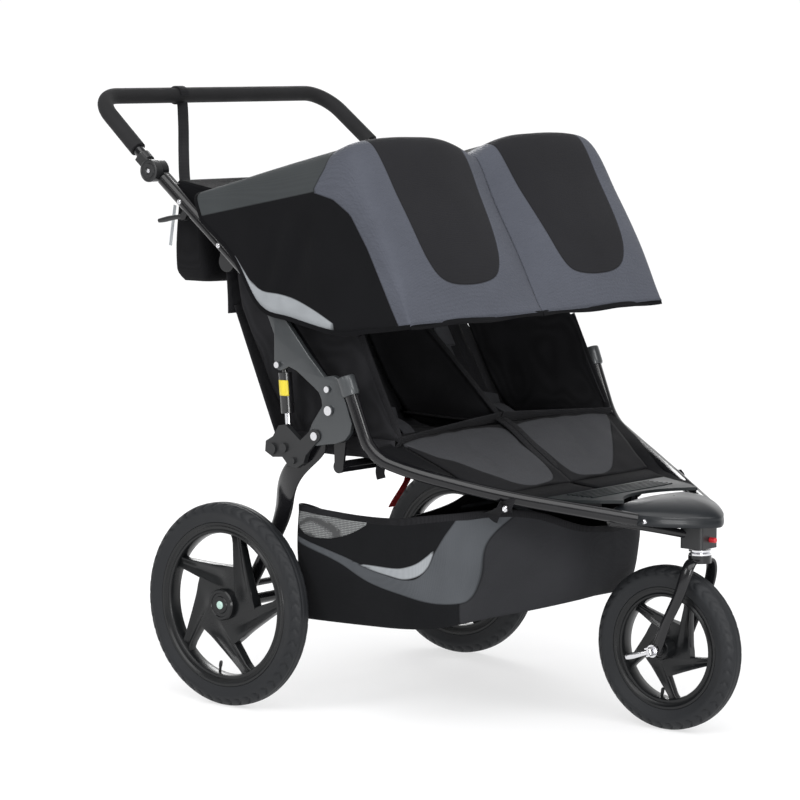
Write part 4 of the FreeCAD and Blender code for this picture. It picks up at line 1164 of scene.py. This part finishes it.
def bag_flap():
    """Thin covers from the back edge of the canopies to the uprights, above the open bag."""
    for name, side in SIDES:
        rows = []
        for t in np.linspace(0, 1, 12):
            sag = 6 * math.sin(math.pi * t)
            rows.append([(side * x, 50 + 102 * t, 1008 + 17 * t - sag * (1 - (x / 340) ** 2))
                         for x in np.linspace(0.8, 334, 32)])
        hang_flap("bag_flap_" + name, rows)
        rows = [[(side * (334 + 14 * d), 50 + 102 * t, (1008 + 17 * t) * (1 - d) + (934 + 79 * t) * d)
                 for d in np.linspace(0, 1, 10)] for t in np.linspace(0, 1, 10)]
        hang_flap("bag_flap_side_" + name, rows)


def hang_flap(name, rows):
    """Cloth that stretches between the uprights and one canopy."""
    build = Builder()
    build.grid(shifted(rows))
    sheet = thicken(make_object(name, build.mesh("flap"), 180), 2.2, 0)
    sheet.data.materials.append(MATERIALS["cloth"])
    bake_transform(sheet)
    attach(sheet, "upper_frame")


def straps():
    bar = Vector((0, 370, 1189))
    radius = 18.2
    loop = []
    for step in range(21):
        angle = math.radians(-118 + 300 * step / 20)
        loop.append((-105, bar.y + radius * math.cos(angle), bar.z + radius * math.sin(angle)))
    band = sweep("handle_strap_loop", loop, flat_section(24, 2.0), straight=True)
    finish_piece(band, "web", "handlebar")
    keys = [(-104, 361, 1173), (-112, 352, 1163), (-165, 300, 1122), (-225, 243, 1080), (-285, 185, 1039),
            (-336, 133, 1004)]
    tail = sweep("handle_strap_tail", keys, flat_section(22, 2.0), (0.64, -0.76, 0.11), count=50)
    tail.data.materials.append(MATERIALS["web"])
    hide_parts("handle_strap")
    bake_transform(tail)
    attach(tail, "upper_frame")
    keys = [(14, -147, 428), (15, -139, 412), (15, -112, 376), (15, -102, 361)]
    red = sweep("fold_strap_web", keys, flat_section(20, 2.2), count=20)
    finish_piece(red, "red_web", "frame", ["fold_strap"])
    keys = [(-322, -352, 512), (-322, -356, 500), (-322, -354, 486), (-322, -357, 474)]
    loose = sweep("loose_strap_end", keys, flat_section(22, 2.2), (0, 1, 0), count=16)
    finish_piece(loose, "web", "frame")


# ---------------------------------------------------------------- nose and brackets
def nose():
    """Domed front cover with a rolled lower lip that drops towards the front."""
    half = [(131, -750), (127, -780), (116, -811), (100, -836), (80, -858), (56, -880), (30, -899), (0, -911)]
    front = spline(half + [(-x, y) for x, y in reversed(half[:-1])], 81)
    back = [(-131 + 262 * t, -750 + 22 * (1 - (2 * t - 1) ** 2)) for t in np.linspace(0, 1, 26)[1:-1]]
    outline = [tuple(point) for point in front] + back
    centre_y = -806
    rings = [(f, 422 + 25 * (1 - f ** 3.0) ** 0.6) for f in (0.02, 0.2, 0.4, 0.58, 0.72, 0.83, 0.9, 0.95, 0.985)]
    rings += [(1.0, 423), (0.992, 419), (1.0, 416), (1.008, 411), (1.0, 405), (0.975, 403.5), (0.955, 405),
              (0.94, 409), (0.6, 409), (0.02, 409)]
    rows = []
    for f, z in rings:
        row = []
        for x, y in outline:
            ahead = min(1.0, max(0.0, (-y - 795) / 115))
            drop = 9 * ahead * min(1.0, f ** 2) if f > 0.94 or z > 412 else 0
            row.append((x * f, centre_y + (y - centre_y) * f, z - drop))
        rows.append(row)
    build = Builder()
    build.grid(shifted(rows), closed_v=True)
    mesh = build.mesh("nose")
    outward(mesh)
    piece = make_object("nose_hood", mesh, 60)
    subdivide = piece.modifiers.new("smooth", "SUBSURF")
    subdivide.levels = 1
    finish_piece(applied(piece), "nose", "frame", ["nose_cover"])
    for name, side in SIDES:
        bolt("nose_bolt_" + name, side, 111, -817, 411, 5.5, "frame", 6)


def bolt(name, side, x, y, z, radius, body, tall=3.5):
    """Domed bolt head on a face that looks outwards."""
    profile = [(x, 0.01), (x + tall, 0.01), (x + tall, radius * 0.42), (x + tall * 0.75, radius * 0.5),
               (x + tall * 0.9, radius * 0.62), (x + tall * 0.55, radius * 0.94), (x, radius)]
    build = Builder()
    revolve_x(build, [(side * a, r) for a, r in profile], y, z, 28, closed=False)
    mesh = build.mesh(name)
    outward(mesh)
    return finish_piece(make_object(name, mesh), "chrome", body)


def hardware():
    """Bolt heads and joint discs that the plain tubes carry."""
    for name, side in SIDES:
        for number, (y, z) in enumerate(((13, 904), (116, 985.5))):
            bolt(f"upright_bolt_{name}_{number + 1}", side, 372, y, z, 5.2, "upper_frame", 3.2)
        bolt("basket_bolt_" + name, side, 281, -622, 436, 6.5, "frame", 4)
        build = Builder()
        profile = [(379, 0.01), (381, 0.01), (381, 7), (382.6, 8), (382.6, 14), (380.6, 15), (380.6, 19),
                   (382, 20), (381, 22.5), (378, 22.5)]
        revolve_x(build, [(side * a, r) for a, r in profile], 191, 1045, 48, closed=False)
        mesh = build.mesh("joint_disc")
        outward(mesh)
        finish_piece(make_object("joint_disc_" + name, mesh), "plastic", "handlebar")
        bolt("joint_bolt_" + name, side, 380.6, 191, 1045, 4.5, "handlebar", 2.6)


BRACKET = [(-126, 790), (-149, 742), (-149, 694), (-151, 682), (-156, 675), (-164, 673), (-175, 676), (-186, 682),
           (-206, 675), (-250, 646), (-262, 637), (-268, 625), (-270, 612), (-246, 580), (-237, 562), (-237, 550),
           (-244, 538), (-256, 535), (-274, 539), (-304, 543), (-326, 551), (-339, 566), (-343, 584), (-337, 601),
           (-327, 627), (-310, 660), (-307, 668), (-298, 672), (-275, 668), (-236, 706), (-150, 802)]


def brackets():
    """Cast side plates with a rolled rim and a sunk web."""
    for name, side in SIDES:
        work = bmesh.new()
        inner, outer = side * 384.2, side * 395.6
        corners = [work.verts.new(at(outer, y, z)) for y, z in BRACKET]
        face = work.faces.new(corners)
        inset = bmesh.ops.inset_region(work, faces=[face], thickness=0.006, depth=0.0)
        del inset
        bmesh.ops.inset_region(work, faces=[face], thickness=0.0022, depth=0.0)
        bmesh.ops.translate(work, verts=face.verts, vec=(-side * 0.0030, 0, 0))
        rim_edges = [edge for edge in work.edges if edge.is_boundary]
        made = bmesh.ops.extrude_edge_only(work, edges=rim_edges)
        pushed = [item for item in made["geom"] if isinstance(item, bmesh.types.BMVert)]
        bmesh.ops.translate(work, verts=pushed, vec=(inner * MM - outer * MM, 0, 0))
        bmesh.ops.contextual_create(work, geom=[edge for edge in work.edges if edge.is_boundary])
        bmesh.ops.recalc_face_normals(work, faces=work.faces)
        mesh = bpy.data.meshes.new("bracket")
        work.to_mesh(mesh)
        work.free()
        piece = make_object("cast_bracket_" + name, mesh, 30)
        bevel = piece.modifiers.new("edge", "BEVEL")
        bevel.width = 0.0016
        bevel.segments = 3
        bevel.limit_method = "ANGLE"
        bevel.angle_limit = math.radians(35)
        piece = applied(piece)
        for polygon in piece.data.polygons:
            polygon.use_smooth = True
        piece.data.set_sharp_from_angle(angle=math.radians(35))
        finish_piece(piece, "bracket", "frame", ["side_bracket_" + name])
        collar(name, side)
        label = Builder()
        lean = math.atan2(11, 124)
        rows = []
        for drop in (30, 33, 57, 60):
            ring = []
            for angle in np.linspace(-1.1, 1.1, 14):
                wide = 13.35 * (1 if 31 < drop < 59 else 0.985)
                y = -160 - drop * math.sin(lean) + wide * math.sin(angle)
                ring.append((side * (375 + wide * math.cos(angle)), y, 684 - drop * math.cos(lean)))
            rows.append(ring)
        label.grid(shifted(rows), flip=side < 0)
        band = thicken(make_object("shock_label_" + name, label.mesh("label"), 180), 0.4, 1.0)
        finish_piece(band, "yellow", "shock_body")


def collar(name, side):
    """Cast collar around the open top end of the front rail."""
    top = np.array([side * 388.0, -324.4, 671.5])
    run = np.array([side * -1.0, -14.6, -36.5])
    length = np.linalg.norm(run)
    run /= length
    wide = np.array([1.0, 0.0, 0.0]) - run * run[0]
    wide /= np.linalg.norm(wide)
    high = np.cross(run, wide)
    rows = []
    for radius, along in ((12.6, 0), (15.0, 0), (16.6, 1.5), (17.0, 8), (17.0, 34), (15.5, 38), (12.6, 38)):
        rows.append([top + run * along + wide * radius * math.cos(a) + high * radius * math.sin(a)
                     for a in np.linspace(0, 2 * math.pi, 36, endpoint=False)])
    build = Builder()
    build.grid(shifted(rows), closed_u=True, closed_v=True)
    mesh = build.mesh("collar")
    outward(mesh)
    finish_piece(make_object("rail_collar_" + name, mesh), "bracket", "frame")


# ---------------------------------------------------------------- CAD nodes that stay
CAD_FINISH = {
    "frame": ["side_rail_left", "side_rail_right", "seat_cross_tube", "brace_tubes", "upright_left", "upright_right",
              "crossbar", "handlebar_tube", "fork_legs", "swing_arm_left", "swing_arm_right", "rear_axle_tube",
              "hinge_plates"],
    "plate": ["steering_stem", "brake_disc_left", "brake_disc_right"],
    "chrome": ["frame_bolts", "fork_spring", "front_axle", "quick_release_lever", "shock_rods"],
    "mat": ["footrest_mat"],
    "foam": ["handle_grip"],
    "plastic": ["head_housing", "brake_pedal", "suspension_rockers", "canopy_hinges", "handle_joint_left",
                "handle_joint_right", "adjust_button_left", "adjust_button_right", "release_lever_left",
                "release_lever_right"],
    "shock": ["shock_bodies"],
    "button": ["hub_button_left", "hub_button_right"],
    "red": ["swivel_lock_knob"],
}


def cad_finishes():
    for finish, nodes in CAD_FINISH.items():
        for node in nodes:
            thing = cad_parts[node]
            for slot in thing.material_slots:
                slot.link = "OBJECT"
                slot.material = MATERIALS[finish]


camera()
studio()
materials()
cad_finishes()
wheels()
for canopy_name, canopy_side in SIDES:
    canopy(canopy_name, canopy_side)
basket()
seats()
storage_bag()
bag_flap()
straps()
nose()
brackets()
hardware()
